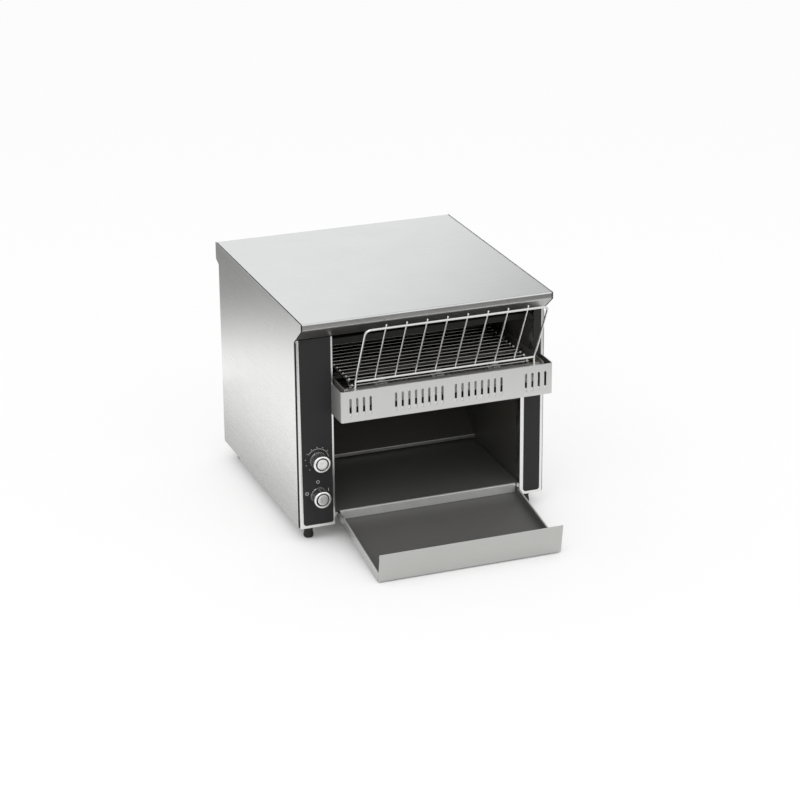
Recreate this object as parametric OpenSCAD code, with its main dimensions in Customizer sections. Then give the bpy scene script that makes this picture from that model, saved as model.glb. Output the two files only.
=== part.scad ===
// Countertop conveyor toaster. Bread leans on a wire rack, a wire-link belt carries it between
// two banks of heater tubes, and it slides down a chute to a landing tray and a pull-out tray.
// X runs to the right, Y into the depth, Z up. Inside the modules y = 0 is the front plane and
// z = 0 is the bottom edge of the body; seat() moves each piece to the part's own frame, which
// has its origin on the counter, under the middle of the whole part.

/* [Body] */
// Width over the side panels
body_w = 368; // [364:0.5:376]
// Depth from the front plane to the back of the body
body_d = 353.3; // [350:0.1:370]
// Height of the body above its bottom edge
body_h = 309.4; // [306:0.1:325]
// Sheet metal thickness
sheet = 1.2; // [1:0.1:1.2]
// Overhang of the head in front of the front plane
head_front = 25.7; // [22:0.1:26]
// Height of the flat lip at the front of the head
lip_h = 8.6; // [7:0.1:12]
// Height at which the slope under the lip meets the front plane
slope_z = 274.4; // [273:0.1:276]
// Overhang of the head behind the body
head_rear = 12.8; // [8:0.1:20]
// Height of the rear lip
rear_lip_h = 25.6; // [20:0.1:28]

/* [Front] */
// Left edge of the opening
open_l = -131.2; // [-131.4:0.1:-131]
// Right edge of the opening at the landing tray
open_r = 147.3; // [147:0.1:148]
// Right edge of the opening at the belt
open_r_up = 166; // [165.9:0.1:166.2]
// Outer edge of the two black overlays, from the middle
overlay_x = 177.4; // [175:0.1:178]
// Thickness of the overlays
overlay_t = 0.8; // [0.5:0.1:0.9]
// Radius of the vertical bend at each front corner
corner_r = 4.5; // [3:0.1:4.6]

/* [Guard] */
// Left end of the slotted guard
guard_l = -133.5; // [-133.6:0.1:-133]
// Right end of the slotted guard
guard_r = 178.9; // [178.5:0.1:179.5]
// Bottom edge of the guard
guard_z = 165.4; // [164:0.1:166]
// Height of the guard
guard_h = 45; // [44:0.1:46]
// How far the guard stands in front of the front plane
guard_y = 39.4; // [39:0.1:42]
// Width of one slot
slot_w = 3.2; // [2:0.1:5]
// Length of one slot
slot_l = 29.5; // [20:0.1:31]

/* [Belt] */
// Pitch of the wire links
belt_pitch = 12.5; // [12.3:0.05:12.6]
// Width over the belt's edge bends
belt_w = 266; // [240:1:268]
// Diameter of the belt wire
belt_wire = 2.2; // [1.6:0.1:2.2]
// Middle of the belt across the body
belt_x = 19; // [18:0.5:20]
// Height of the wires of the upper run
belt_z = 214; // [213.8:0.1:214.4]
// Wires round half of a sprocket
wrap_n = 4; // [4:1:4]
// Wires along one straight run
run_n = 19; // [19:1:19]
// Diameter of the two belt shafts
shaft_d = 10; // [8:0.5:10]

/* [Bread rack] */
// Lean of the rack from the vertical
rack_lean = 27.4; // [15:0.1:30]
// Length of the rack along its lean
rack_len = 99.8; // [80:0.1:110]
// Half of the distance between the outer wires
rack_half = 132; // [125:0.5:134]
// Number of wires between the outer ones
rack_n = 8; // [4:1:12]

/* [Trays] */
// Tilt of the pull-out tray, falling to the front
tray_tilt = 9.6; // [9.2:0.1:9.8]
// Height of the pull-out tray's front plate
plate_h = 43; // [30:0.5:43]
// Height of the pull-out tray's side walls
tray_side = 12.5; // [8:0.5:14]
// Height of the landing tray's front lip
landing_lip = 13; // [10:0.1:13]

/* [Controls] */
// Distance of the knobs from the middle of the body
knob_x = 155.5; // [154:0.1:157]
// Height of the speed knob
speed_z = 101.5; // [95:0.1:110]
// Height of the heat knob
heat_z = 48.7; // [40:0.1:60]
// Diameter over a knob's flange
knob_d = 25.5; // [22:0.1:28]
// Height of a knob
knob_h = 19.5; // [16:0.1:22]

/* [Feet] */
// Height of the feet
foot_h = 22; // [22:0.5:40]
// Diameter of a foot at the body
foot_d = 21.6; // [16:0.1:26]

/* [Hidden] */

half_w = body_w / 2;
in_w = half_w - sheet;
front_gap = corner_r + 1.1;
rear_y = body_d + head_rear;
lip_z = body_h - lip_h;
rear_lip_z = body_h - rear_lip_h;
rear_slope_z = rear_lip_z - 5.1;
fall = (lip_z - slope_z) / head_front;

// Pull-out tray: lower front corner at rest
tray_y = -159.7;
tray_z = -20.3;
tray_l = -126.6;
tray_r = 141;
tray_len = 190.4;
plate_y = tray_y - plate_h * sin(tray_tilt);
y_mid = (rear_y + plate_y) / 2;

// Tunnel of the pull-out tray in the base
tun_l = open_l - 1.6;
tun_r = 147;
tun_y = 182;
tun_z = 17.6;

// Walls of the toasting chamber
wall_l = open_l - sheet;
wall_r = open_r + sheet;
wall_r_up = open_r_up + sheet;
wall_y = 330;
ceil_z = 266;
chute_y = 326;
chute_front = [172, 28.5];

// Belt loop
belt_r = belt_pitch / (2 * sin(90 / wrap_n));
axis_y = -5;
axis_z = belt_z - belt_r;
drive_y = axis_y + run_n * belt_pitch;
rail_l = -128.2;
rail_r = 163.8;
rail_front = guard_y - sheet;

// Roller chain between the motor and the drive shaft
chain_pitch = 6.35;
chain_t = 12;
chain_s = 16;
chain_r = chain_pitch / (2 * sin(180 / chain_t));
chain_x = -142;
chain_lean = 15.8;
motor_y = drive_y - chain_s * chain_pitch * sin(chain_lean);
motor_z = axis_z - chain_s * chain_pitch * cos(chain_lean);

upper_tubes_y = [66, 102, 138, 174, 210];
upper_tubes_z = 253;
lower_tubes_y = [62, 98, 134, 170];
lower_tubes_z = 197.6;
tie_y = [30, 202];
tube_r = 4;
bush_r = 7;

fan_x = -90;
fan_z = 57;
fan_s = 80;
fan_y = body_d - 27.4;
back_y = body_d - 2 * sheet;

foot_x = 164;
foot_ys = [21.5, body_d - 23];
gland_x = -156;
gland_z = 30;

steel = [0.74, 0.74, 0.73];
dark_steel = [0.33, 0.33, 0.34];
chrome = [0.85, 0.85, 0.86];
charcoal = [0.16, 0.16, 0.17];
black = [0.06, 0.06, 0.06];
ceramic = [0.93, 0.91, 0.86];
brass = [0.78, 0.66, 0.36];

$fn = 40;

// Moves a piece from the front-plane coordinates to the part's own frame
module seat() { translate([0, -y_mid, foot_h]) children(); }
// Outline in X and Z, made from y0 to y1
module xz(y0, y1) { translate([0, y1, 0]) rotate([90, 0, 0]) linear_extrude(y1 - y0) children(); }
// Outline in Y and Z, made from x0 to x1
module yz(x0, x1) { translate([x0, 0, 0]) rotate([90, 0, 90]) linear_extrude(x1 - x0) children(); }
// Outline in X and Y, made from z0 to z1
module xy(z0, z1) { translate([0, 0, z0]) linear_extrude(z1 - z0) children(); }
module xcyl(x0, x1, y, z, r) { translate([x0, y, z]) rotate([0, 90, 0]) cylinder(h = x1 - x0, r = r); }
module ycyl(y0, y1, x, z, r) { translate([x, y1, z]) rotate([90, 0, 0]) cylinder(h = y1 - y0, r = r); }
module zcyl(z0, z1, x, y, r) { translate([x, y, z0]) cylinder(h = z1 - z0, r = r); }
module block(a, b) { translate(a) cube(b - a); }

// Rectangle with chosen round corners, in the order lower left, lower right, upper right, upper left
module rounded(a, b, r, on = [1, 1, 1, 1]) {
    p = [a, [b[0], a[1]], b, [a[0], b[1]]];
    c = [a + [r, r], [b[0] - r, a[1] + r], b - [r, r], [a[0] + r, b[1] - r]];
    difference() {
        polygon(p);
        for (i = [0:3]) if (on[i] == 1) polygon([p[i], [c[i][0], p[i][1]], c[i], [p[i][0], c[i][1]]]);
    }
    for (i = [0:3]) if (on[i] == 1) translate(c[i]) circle(r = r);
}

// Upright slot with round ends
module slot(x, z0, z1, w) {
    translate([x - w / 2, z0 + w / 2]) square([w, z1 - z0 - w]);
    for (z = [z0 + w / 2, z1 - w / 2]) translate([x, z]) circle(d = w, $fn = 24);
}

// Bent sheet seen on its edge: middle line p, thickness t and bend radii r, one for each point
function unit(v) = v / norm(v);
function flank(u) = [-u[1], u[0]];
function bend_at(p, i, r, side, n) =
    let (u = unit(p[i] - p[i - 1]), v = unit(p[i + 1] - p[i]), a = acos(u * v), k = r[i] * tan(a / 2),
        way = sign(cross(u, v)), c = p[i] + unit(v - u) * r[i] / cos(a / 2), w = unit(p[i] - u * k - c),
        q = r[i] - way * side)
    [for (j = [0:n]) let (b = way * a * j / n) c + q * [w[0] * cos(b) - w[1] * sin(b), w[0] * sin(b) + w[1] * cos(b)]];
function edge_of(p, r, side, n) = let (m = len(p) - 1) [for (i = [0:m]) each
    (i == 0 ? [p[0] + side * flank(unit(p[1] - p[0]))] :
    i == m ? [p[m] + side * flank(unit(p[m] - p[m - 1]))] : bend_at(p, i, r, side, n))];
module bent(p, t, r, n = 5) {
    a = edge_of(p, r, t / 2, n);
    b = edge_of(p, r, -t / 2, n);
    polygon(concat(a, [for (i = [len(b) - 1:-1:0]) b[i]]));
}

// Height of the slope under the front lip at depth y
function slope(y) = slope_z - fall * y;

// ---- Shell ----

module side_outline() {
    polygon([[front_gap, 0], [front_gap, slope(front_gap)], [-head_front, lip_z],
        [-head_front, body_h], [rear_y, body_h], [rear_y, rear_lip_z],
        [body_d, rear_slope_z], [body_d, 0]]);
}

module left_side_panel() {
    color(steel) seat() yz(-half_w, -in_w) side_outline();
}

module right_side_panel() {
    color(steel) seat() yz(in_w, half_w) side_outline();
}

// One sheet folded over the head, with tucked side flanges that leave a seam at each side panel
module top_cover() {
    h = sheet / 2;
    n = h * sqrt(1 + fall * fall);
    m = h * norm([head_rear, 5.1]) / head_rear;
    zf = slope(sheet + h) + n;
    zl = slope(-head_front + h) + n;
    ze = rear_lip_z - h * 5.1 / head_rear + m;
    zr = rear_slope_z - h * 5.1 / head_rear + m;
    path = [[15, zf - 1.5], [sheet + h, zf], [-head_front + h, zl], [-head_front + h, body_h - h],
        [rear_y - h, body_h - h], [rear_y - h, ze], [body_d - h, zr], [body_d - h, 264]];
    color(steel) seat() {
        yz(-in_w + 0.8, in_w - 0.8) bent(path, sheet, [0, 1.2, 1.2, 1.4, 1.4, 1.2, 1.2, 0]);
        for (s = [-1, 1]) yz(s < 0 ? -in_w : in_w - 1.2, s < 0 ? -in_w + 1.2 : in_w)
            polygon([[3 - head_front, body_h - 6], [3 - head_front, body_h - 0.8],
                [rear_y - 3, body_h - 0.8], [rear_y - 3, body_h - 19], [-8, body_h - 19]]);
    }
}

// Floor of the body, cut open in front for the pull-out tray, with its tunnel and runners
module base_pan() {
    color(steel) seat() difference() {
        union() {
            block([-in_w, sheet, 0], [in_w, back_y, sheet]);
            for (s = [-1, 1]) block([s < 0 ? -in_w : in_w - sheet, front_gap + 14, 0],
                [s < 0 ? -in_w + sheet : in_w, back_y, 15]);
            block([-in_w, back_y - sheet, 0], [in_w, back_y, 15]);
            block([tun_l - sheet, sheet, 0], [tun_l, tun_y + sheet, tun_z]);
            block([tun_r, sheet, 0], [tun_r + sheet, tun_y + sheet, tun_z]);
            block([tun_l - sheet, tun_y, 0], [tun_r + sheet, tun_y + sheet, tun_z]);
            for (x = [[tun_l - sheet, tun_l + 3.8], [tun_r - 3.6, tun_r + sheet]]) {
                block([x[0], sheet, tun_z - 1], [x[1], tun_y, tun_z]);
                block([x[0], sheet, tun_z - 5.7], [x[1], tun_y, tun_z - 4.5]);
                block([x[0], sheet, tun_z - 5.7], [x[1], sheet + 1.4, tun_z]);
            }
        }
        block([tun_l, 0, -1], [tun_r, tun_y, sheet + 0.5]);
        for (s = [-1, 1]) block([s < 0 ? -half_w : half_w - corner_r - 1, 0, -1],
            [s < 0 ? -half_w + corner_r + 1 : half_w, corner_r + 0.7, 3]);
        for (s = [-1, 1], y = foot_ys) zcyl(-1, 3, s * foot_x, y, 2.5);
        for (x = [40:14:166], y = [200, 262]) xy(-1, 3) translate([x, y]) union() {
            translate([-2, 2]) square([4, 34]);
            for (v = [2, 36]) translate([0, v]) circle(d = 4, $fn = 24);
        }
    }
}

// Back with louvre slots, a fan grille and the hole for the cable gland
module back_panel() {
    color(steel) seat() difference() {
        union() {
            block([-in_w, back_y, 0], [in_w, back_y + sheet, 278]);
            for (s = [-1, 1]) block([s < 0 ? -in_w : in_w - sheet, back_y - 12, 16],
                [s < 0 ? -in_w + sheet : in_w, back_y + 0.2, 270]);
        }
        xz(back_y - 1, back_y + sheet + 1) {
            for (x = [-160:10:-130], z = [150, 200]) slot(x, z, z + 36, 3.4);
            for (x = [-20:12:148], z = [196]) slot(x, z, z + 40, 3.4);
            for (i = [-3:3], j = [-3:3]) if (i * i + j * j + i * j < 10)
                translate([fan_x + 10 * (i + j / 2), fan_z + 8.66 * j]) circle(d = 7, $fn = 24);
            translate([gland_x, gland_z]) circle(d = 16);
        }
        for (x = [-172, 172], z = [60, 150, 240]) ycyl(back_y - 1, back_y + 3, x, z, 1.75);
    }
}

// ---- Front ----

// Rounded outer corner of a front frame and its flange inside the side panel, on the left
module frame_corner(h) {
    difference() {
        union() {
            xy(0, h) intersection() {
                translate([-half_w + corner_r, corner_r]) difference() {
                    circle(r = corner_r);
                    circle(r = corner_r - sheet);
                }
                translate([-half_w - 1, -1]) square([corner_r + 1, corner_r + 1]);
            }
            block([-half_w, corner_r, 0], [-half_w + sheet, corner_r + 0.5, h]);
        }
        yz(-half_w - 1, -half_w + corner_r) polygon([[0, slope(0) - 0.9], [8, slope(8) - 0.9], [8, h + 9], [0, h + 9]]);
    }
    block([-in_w, corner_r - 1.2, 2], [-in_w + sheet, front_gap + 14, h - 12]);
}

module control_frame() {
    h = slope(sheet) - 0.9;
    color(steel) seat() difference() {
        union() {
            frame_corner(h);
            block([-half_w + corner_r, 0, 0], [open_l, sheet, h]);
            block([open_l - sheet, 0, 26], [open_l, 14, 261]);
        }
        for (z = [speed_z, heat_z]) ycyl(-1, 3, -knob_x, z, 4.6);
    }
}

module right_front_frame() {
    h = slope(sheet) - 0.9;
    color(steel) seat() {
        mirror([1, 0, 0]) frame_corner(h);
        xz(0, sheet) polygon([[open_r, 0], [half_w - corner_r, 0], [half_w - corner_r, h],
            [open_r_up, h], [open_r_up, 168], [open_r, 168]]);
        block([open_r, 0, 26], [open_r + sheet, 14, 160]);
        block([open_r_up, 0, 168], [open_r_up + sheet, 14, 261]);
    }
}

module control_overlay() {
    color(charcoal) seat() difference() {
        xz(-overlay_t, 0) rounded([-overlay_x, 4.3], [open_l - 2.7, slope(0) - 1.2], 4, [1, 1, 0, 0]);
        for (z = [speed_z, heat_z]) ycyl(-2, 1, -knob_x, z, 4.6);
    }
}

module right_overlay() {
    color(charcoal) seat() xz(-overlay_t, 0) {
        rounded([open_r + 5.5, 4.3], [overlay_x, 168], 4, [1, 1, 0, 0]);
        translate([open_r_up, 168]) square([overlay_x - open_r_up, slope(0) - 1.2 - 168]);
    }
}

// Folded channel with slots in groups of 4, 8, 8 and 4
module slotted_guard() {
    h = sheet / 2;
    mid = (guard_l + guard_r) / 2 + 1.1;
    color(steel) seat() difference() {
        xy(guard_z, guard_z + guard_h) bent([[guard_l + h, 0], [guard_l + h, h - guard_y],
            [guard_r - h, h - guard_y], [guard_r - h, 0]], sheet, [0, 2.2, 2.2, 0]);
        xz(-guard_y - 1, -guard_y + sheet + 0.4) for (s = [-1, 1]) {
            for (i = [0:7]) slot(mid + s * (9.9 + 9.7 * i), 171.5, 171.5 + slot_l, slot_w);
            for (i = [0:3]) slot(mid + s * (114.6 + 9.7 * i), 171.5, 171.5 + slot_l, slot_w);
        }
    }
}

// Ledge with the holes for the bread rack's legs, and bottom strip, both welded behind the guard
module guard_flanges() {
    top = guard_z + guard_h;
    color(steel) seat() difference() {
        union() {
            block([-119, sheet - guard_y, top - sheet], [162, 13 - guard_y, top]);
            block([guard_l + 3, sheet - guard_y, guard_z], [guard_r - 3, 18 - guard_y, guard_z + sheet]);
        }
        for (s = [-1, 1]) zcyl(top - 3, top + 1, rack_x + s * rack_half, rack_y, 1.9);
    }
}

// ---- Toasting chamber ----

module tube_holes(x0, x1) {
    for (y = upper_tubes_y) xcyl(x0, x1, y, upper_tubes_z, bush_r);
    for (y = lower_tubes_y) xcyl(x0, x1, y, lower_tubes_z, bush_r);
}

module left_chamber_wall() {
    color(dark_steel) seat() difference() {
        union() {
            block([wall_l - sheet, sheet, tun_z], [wall_l, wall_y, ceil_z + sheet]);
            block([wall_l - 9, sheet + 14, tun_z], [wall_l, wall_y, tun_z + sheet]);
            block([wall_l - 9, 8, ceil_z], [wall_l, wall_y, ceil_z + sheet]);
        }
        tube_holes(wall_l - 3, wall_l + 1);
        xcyl(wall_l - 3, wall_l + 1, drive_y, axis_z, 9);
    }
}

module right_chamber_wall() {
    h = sheet / 2;
    color(dark_steel) seat() difference() {
        union() {
            xz(sheet, wall_y) bent([[wall_r + h, tun_z], [wall_r + h, 161], [wall_r_up + h, 161],
                [wall_r_up + h, ceil_z + h], [wall_r_up + 9, ceil_z + h]], sheet, [0, 1.2, 1.2, 1.2, 0]);
            block([wall_r, sheet + 14, tun_z], [wall_r + 9, wall_y, tun_z + sheet]);
        }
        tube_holes(wall_r_up - 1, wall_r_up + 3);
        block([wall_r + 3, 0, 158], [wall_r_up + 2 * sheet, sheet + 0.4, 168]);
    }
}

module upper_reflector() {
    color(steel) seat() yz(wall_l, wall_r_up)
        bent([[24, 257], [24, ceil_z - 0.5], [chute_y - 0.6, ceil_z - 0.5]], 1, [0, 2, 0]);
}

module heater_tubes(ys, z) {
    for (y = ys) {
        xcyl(wall_l - 5, wall_r_up + 5, y, z, tube_r);
        xcyl(wall_l - 12, wall_l - 4.8, y, z, 1.5);
        xcyl(wall_r_up + 4.8, wall_r_up + 12, y, z, 1.5);
    }
}

// Collared bushes that carry both ends of each tube in the chamber walls
module heater_bushes(ys, z) {
    difference() {
        for (y = ys) {
            xcyl(wall_l - 4.5, wall_l + 1.5, y, z, bush_r);
            xcyl(wall_l - 4.5, wall_l - sheet, y, z, bush_r + 1.5);
            xcyl(wall_r_up - 1.2, wall_r_up + 4.5, y, z, bush_r);
            xcyl(wall_r_up + sheet, wall_r_up + 4.5, y, z, bush_r + 1.5);
        }
        for (y = ys) xcyl(wall_l - 6, wall_r_up + 6, y, z, tube_r);
    }
}

module upper_heater_tubes() { color(chrome) seat() heater_tubes(upper_tubes_y, upper_tubes_z); }
module lower_heater_tubes() { color(chrome) seat() heater_tubes(lower_tubes_y, lower_tubes_z); }
module upper_heater_bushes() { color(ceramic) seat() heater_bushes(upper_tubes_y, upper_tubes_z); }
module lower_heater_bushes() { color(ceramic) seat() heater_bushes(lower_tubes_y, lower_tubes_z); }

module lower_reflector() {
    color(steel) seat() yz(rail_l + sheet, rail_r)
        bent([[44, 193], [50, 187.6], [182, 187.6], [188, 193]], 1, [0, 3, 3, 0]);
}

// Curved slide under the belt, with a folded hem along its lower edge
module toast_chute() {
    top = ceil_z - 1.2;
    color(dark_steel) seat() {
        yz(wall_l, wall_r) {
            bent([chute_front, [chute_y, chute_front[1] + (chute_y - chute_front[0]) * tan(35)],
                [chute_y, top]], sheet, [0, 60, 0], 12);
            translate(chute_front) circle(r = 1.5);
        }
        block([wall_r - 0.4, chute_y - 0.6, 169], [wall_r_up, chute_y + 0.6, top]);
    }
}

// Floor where the toast comes to rest, with the bright front lip folded down over the pull-out tray
module landing_tray() {
    rise = 3.1 / 168;
    z0 = tun_z + 0.7;
    color(dark_steel) seat() {
        yz(tray_l + 2, tray_r - 2) {
            polygon([[-4, z0 + 2.2 - landing_lip], [-2.8, z0 + 2.2 - landing_lip], [-2.8, z0 + 1], [-1, z0 + 1],
                [-1, z0 - 0.6], [2, z0 - 0.6], [2, z0 + 0.6], [0.2, z0 + 0.6], [0.2, z0 + 2.2], [-3.5, z0 + 2.2],
                [-4, z0 + 1.7]]);
        }
        yz(tun_l + 0.6, tun_r + 0.2) polygon([[sheet + 0.4, z0 - 0.6], [188, z0 - 0.6 + 188 * rise],
            [188, z0 + 0.6 + 188 * rise], [sheet + 0.4, z0 + 0.6]]);
        for (x = [tun_l + 0.6, tun_r - 1]) yz(x, x + 1.2) polygon([[sheet + 2, tun_z],
            [168, tun_z], [168, z0 + 168 * rise], [sheet + 2, z0]]);
    }
}

// ---- Conveyor ----

module rail(x) {
    difference() {
        yz(x, x + sheet) difference() {
            rounded([-rail_front, 170], [262, 214.4], 6, [1, 1, 0, 0]);
            translate([axis_y - 4, axis_z - 8]) square([8, 16]);
            for (s = [-4, 4]) translate([axis_y + s, axis_z]) circle(r = 8);
            translate([drive_y, axis_z]) circle(r = 9);
            for (y = lower_tubes_y) translate([y, lower_tubes_z]) circle(r = bush_r);
            for (y = tie_y) translate([y - 3, 205.3]) square([6, 4.5]);
        }
    }
}

module left_conveyor_rail() {
    color(charcoal) seat() {
        rail(rail_l);
        block([rail_l - 4, 16, 212.4], [rail_l + 0.2, 260, 213.6]);
    }
}

module right_conveyor_rail() {
    color(charcoal) seat() {
        rail(rail_r);
        block([rail_r + 1, 16, 212.4], [wall_r_up, 260, 213.6]);
    }
}

// Square bars from wall to wall that carry the rails and the carrier strips
module rail_ties() {
    edge = belt_w / 2 - 8;
    color(steel) seat() for (y = tie_y) difference() {
        block([wall_l, y - 3, 205.3], [wall_r_up, y + 3, 211.3]);
        for (x = [[wall_l - 1, belt_x - edge], [belt_x + edge, wall_r_up + 1]])
            block([x[0], y - 4, 209.8], [x[1], y + 4, 212]);
    }
}

module belt_carriers() {
    color(steel) seat() for (x = [-76, 19, 114]) yz(belt_x + x - 19 - 6, belt_x + x - 19 + 6)
        bent([[20, 208], [22, 211.9], [212, 211.9], [214, 208]], 1.2, [0, 1.6, 1.6, 0]);
}

// Flanged bush in a rail; side is -1 on the left rail and 1 on the right one
module idler_bushings() {
    color(brass) seat() difference() {
        for (x = [[rail_l, -1], [rail_r, 1]]) {
            yz(x[0], x[0] + sheet) {
                translate([axis_y - 4, axis_z - 8]) square([8, 16]);
                for (s = [-4, 4]) translate([axis_y + s, axis_z]) circle(r = 8);
            }
            xcyl(x[0] - (x[1] < 0 ? 1.4 : 2), x[0] + (x[1] < 0 ? 3.2 : 1.8), axis_y, axis_z, 7.6);
        }
        xcyl(rail_l - 4, rail_r + 4, axis_y, axis_z, shaft_d / 2 + 0.05);
    }
}

module drive_bushings() {
    color(brass) seat() difference() {
        for (x = [rail_l, rail_r]) {
            xcyl(x - 2, x + sheet + (x < 0 ? 2 : 1.6), drive_y, axis_z, 9);
            xcyl(x < 0 ? x + sheet : x - 2, x < 0 ? x + sheet + 2 : x, drive_y, axis_z, 11);
        }
        xcyl(rail_l - 4, rail_r + 4, drive_y, axis_z, shaft_d / 2 + 0.05);
    }
}

// Place of wire i in the belt loop: upper run, rear wrap, lower run, front wrap
function belt_at(i) = let (k = i % (2 * run_n + 2 * wrap_n), a = 180 / wrap_n)
    k < run_n ? [axis_y + k * belt_pitch, axis_z + belt_r] :
    k < run_n + wrap_n ? [drive_y + belt_r * sin(a * (k - run_n)), axis_z + belt_r * cos(a * (k - run_n))] :
    k < 2 * run_n + wrap_n ? [drive_y - (k - run_n - wrap_n) * belt_pitch, axis_z - belt_r] :
    [axis_y - belt_r * sin(a * (k - 2 * run_n - wrap_n)), axis_z - belt_r * cos(a * (k - 2 * run_n - wrap_n))];

// One link: a cross wire whose ends bend back, step inwards and close in an eye round the next wire
module belt_link(d) {
    r = belt_wire / 2;
    eye = belt_wire + 0.15;
    w = belt_w / 2 - r;
    step = belt_wire + 0.4;
    xcyl(-w - 0.6, w + 0.6, 0, 0, r, $fn = 20);
    for (s = [-1, 1]) {
        translate([s * w, 0, 0]) rotate([-90, 0, 0]) cylinder(h = d - eye + 0.6, r = r - 0.1, $fn = 20);
        xcyl(s * w - (s > 0 ? step : 0.5), s * w + (s > 0 ? 0.5 : step), d - eye, 0, r - 0.2, $fn = 20);
        yz(s * (w - step) - r, s * (w - step) + r) translate([d, 0]) difference() {
            circle(r = eye + r, $fn = 28);
            circle(r = eye - r, $fn = 28);
        }
    }
}

module belt(i0, n) {
    color(dark_steel) seat() translate([belt_x, 0, 0]) for (i = [i0:i0 + n - 1]) {
        p = belt_at(i);
        q = belt_at(i + 1);
        translate([0, p[0], p[1]]) rotate([atan2(q[1] - p[1], q[0] - p[0]), 0, 0]) belt_link(norm(q - p));
    }
}

module belt_upper_run() { belt(0, run_n); }
module belt_rear_wrap() { belt(run_n, wrap_n); }
module belt_lower_run() { belt(run_n + wrap_n, run_n - 1); }
module belt_front_wrap() { belt(2 * run_n + wrap_n - 1, wrap_n + 1); }

module shaft_at(x0, x1, y) {
    difference() {
        xcyl(x0, x1, y, axis_z, shaft_d / 2);
        for (x = [x0 - 1, x1 - 0.6]) block([x, y - shaft_d, axis_z + shaft_d / 2 - 0.8],
            [x + 1.6, y + shaft_d, axis_z + shaft_d]);
    }
}

module drive_shaft() { color(steel) seat() shaft_at(chain_x - 5, rail_r + 2.6, drive_y); }
module idler_shaft() { color(steel) seat() shaft_at(rail_l - 1.8, rail_r + 1.8, axis_y); }

// Wheels with teeth that stand between the belt wires, a little inside them
module drive_sprockets() {
    tip = belt_r - belt_wire / 2 - 0.4;
    color(steel) seat() for (x = [-84, 0, 84]) difference() {
        union() {
            yz(belt_x + x - 3, belt_x + x + 3) translate([drive_y, axis_z]) {
                circle(r = 10.6);
                for (i = [0:2 * wrap_n - 1]) rotate((i + 0.5) * 180 / wrap_n) intersection() {
                    polygon([[0, -4], [tip - 1.5, -2.6], [tip + 1, -1.6], [tip + 1, 1.6], [tip - 1.5, 2.6], [0, 4]]);
                    circle(r = tip);
                }
            }
            xcyl(belt_x + x - 6, belt_x + x + 6, drive_y, axis_z, 8.5);
        }
        xcyl(belt_x + x - 7, belt_x + x + 7, drive_y, axis_z, shaft_d / 2);
    }
}

// Smooth flanged rollers that the belt turns round in front
module idler_spools() {
    rim = belt_r - belt_wire / 2 - 0.4;
    color(steel) seat() for (x = [-84, 0, 84]) translate([belt_x + x, axis_y, axis_z]) rotate([0, 90, 0])
        rotate_extrude() polygon([[shaft_d / 2, -9], [8.5, -9], [8.5, -5], [rim, -4], [rim, 4],
            [8.5, 5], [8.5, 9], [shaft_d / 2, 9]]);
}

// ---- Drive in the left bay ----

module chain_wheel(y, z, bore, turned) {
    tip = chain_r - 1.65 - 0.35;
    difference() {
        union() {
            yz(chain_x - 1.2, chain_x + 1.2) translate([y, z]) rotate(turned) {
                circle(r = tip - 1.6);
                for (i = [0:chain_t - 1]) rotate(i * 360 / chain_t) intersection() {
                    polygon([[0, -1.8], [tip, -0.9], [tip, 0.9], [0, 1.8]]);
                    circle(r = tip);
                }
            }
            xcyl(chain_x - 4.6, chain_x + 4.2, y, z, 7.2);
        }
        xcyl(chain_x - 6, chain_x + 6, y, z, bore);
    }
}

module shaft_sprocket() { color(steel) seat() chain_wheel(drive_y, axis_z, shaft_d / 2, chain_lean); }

module motor_sprocket() {
    color(steel) seat() {
        chain_wheel(motor_y, motor_z, 3, chain_lean);
        xcyl(chain_x - 16, chain_x + 5, motor_y, motor_z, 3);
    }
}

// Place of roller i in the chain loop, with the motor at the origin and the shaft straight above
function chain_at(i) = let (k = i % (2 * chain_s + chain_t), a = 360 / chain_t, h = chain_t / 2)
    k < chain_s ? [-chain_r, k * chain_pitch] :
    k < chain_s + h ? [-chain_r * cos(a * (k - chain_s)), chain_s * chain_pitch + chain_r * sin(a * (k - chain_s))] :
    k < 2 * chain_s + h ? [chain_r, (2 * chain_s + h - k) * chain_pitch] :
    [chain_r * cos(a * (k - 2 * chain_s - h)), -chain_r * sin(a * (k - 2 * chain_s - h))];

// Roller chain: inner and outer plates in turn, on rollers
module drive_chain() {
    n = 2 * chain_s + chain_t;
    color(dark_steel) seat() translate([chain_x, motor_y, motor_z]) rotate([-chain_lean, 0, 0]) for (i = [0:n - 1]) {
        p = chain_at(i);
        q = chain_at(i + 1);
        o = i % 2 == 0 ? 1.6 : 2.55;
        xcyl(-3.1, 3.1, p[0], p[1], 1.1, $fn = 16);
        xcyl(-1.7, 1.7, p[0], p[1], 1.65, $fn = 16);
        for (x = [-o - 0.8, o]) translate([0, p[0], p[1]]) rotate([atan2(q[1] - p[1], q[0] - p[0]), 0, 0])
            yz(x, x + 0.8) union() {
                translate([0, -1.8]) square([norm(q - p), 3.6]);
                for (u = [0, norm(q - p)]) translate([u, 0]) circle(r = 2.4, $fn = 20);
            }
    }
}

// Flat synchronous motor
module gear_motor() {
    x = chain_x - 8.4;
    color(steel) seat() xcyl(x - 29, x - 12, motor_y + 12, motor_z, 28);
}

// Gearbox on the motor, output side towards the chamber
module gearbox() {
    x = chain_x - 8.4;
    color(steel) seat() difference() {
        union() {
            yz(x - 12, x) rounded([motor_y - 18, motor_z - 24], [motor_y + 42, motor_z + 24], 6);
            xcyl(x - 4, x + 1.8, motor_y, motor_z, 6);
        }
        xcyl(x - 8, x + 3, motor_y, motor_z, 3.05);
        for (y = [-13, 37], z = [-19, 19]) xcyl(x - 8, x + 3, motor_y + y, motor_z + z, 1.6);
    }
}

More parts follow.
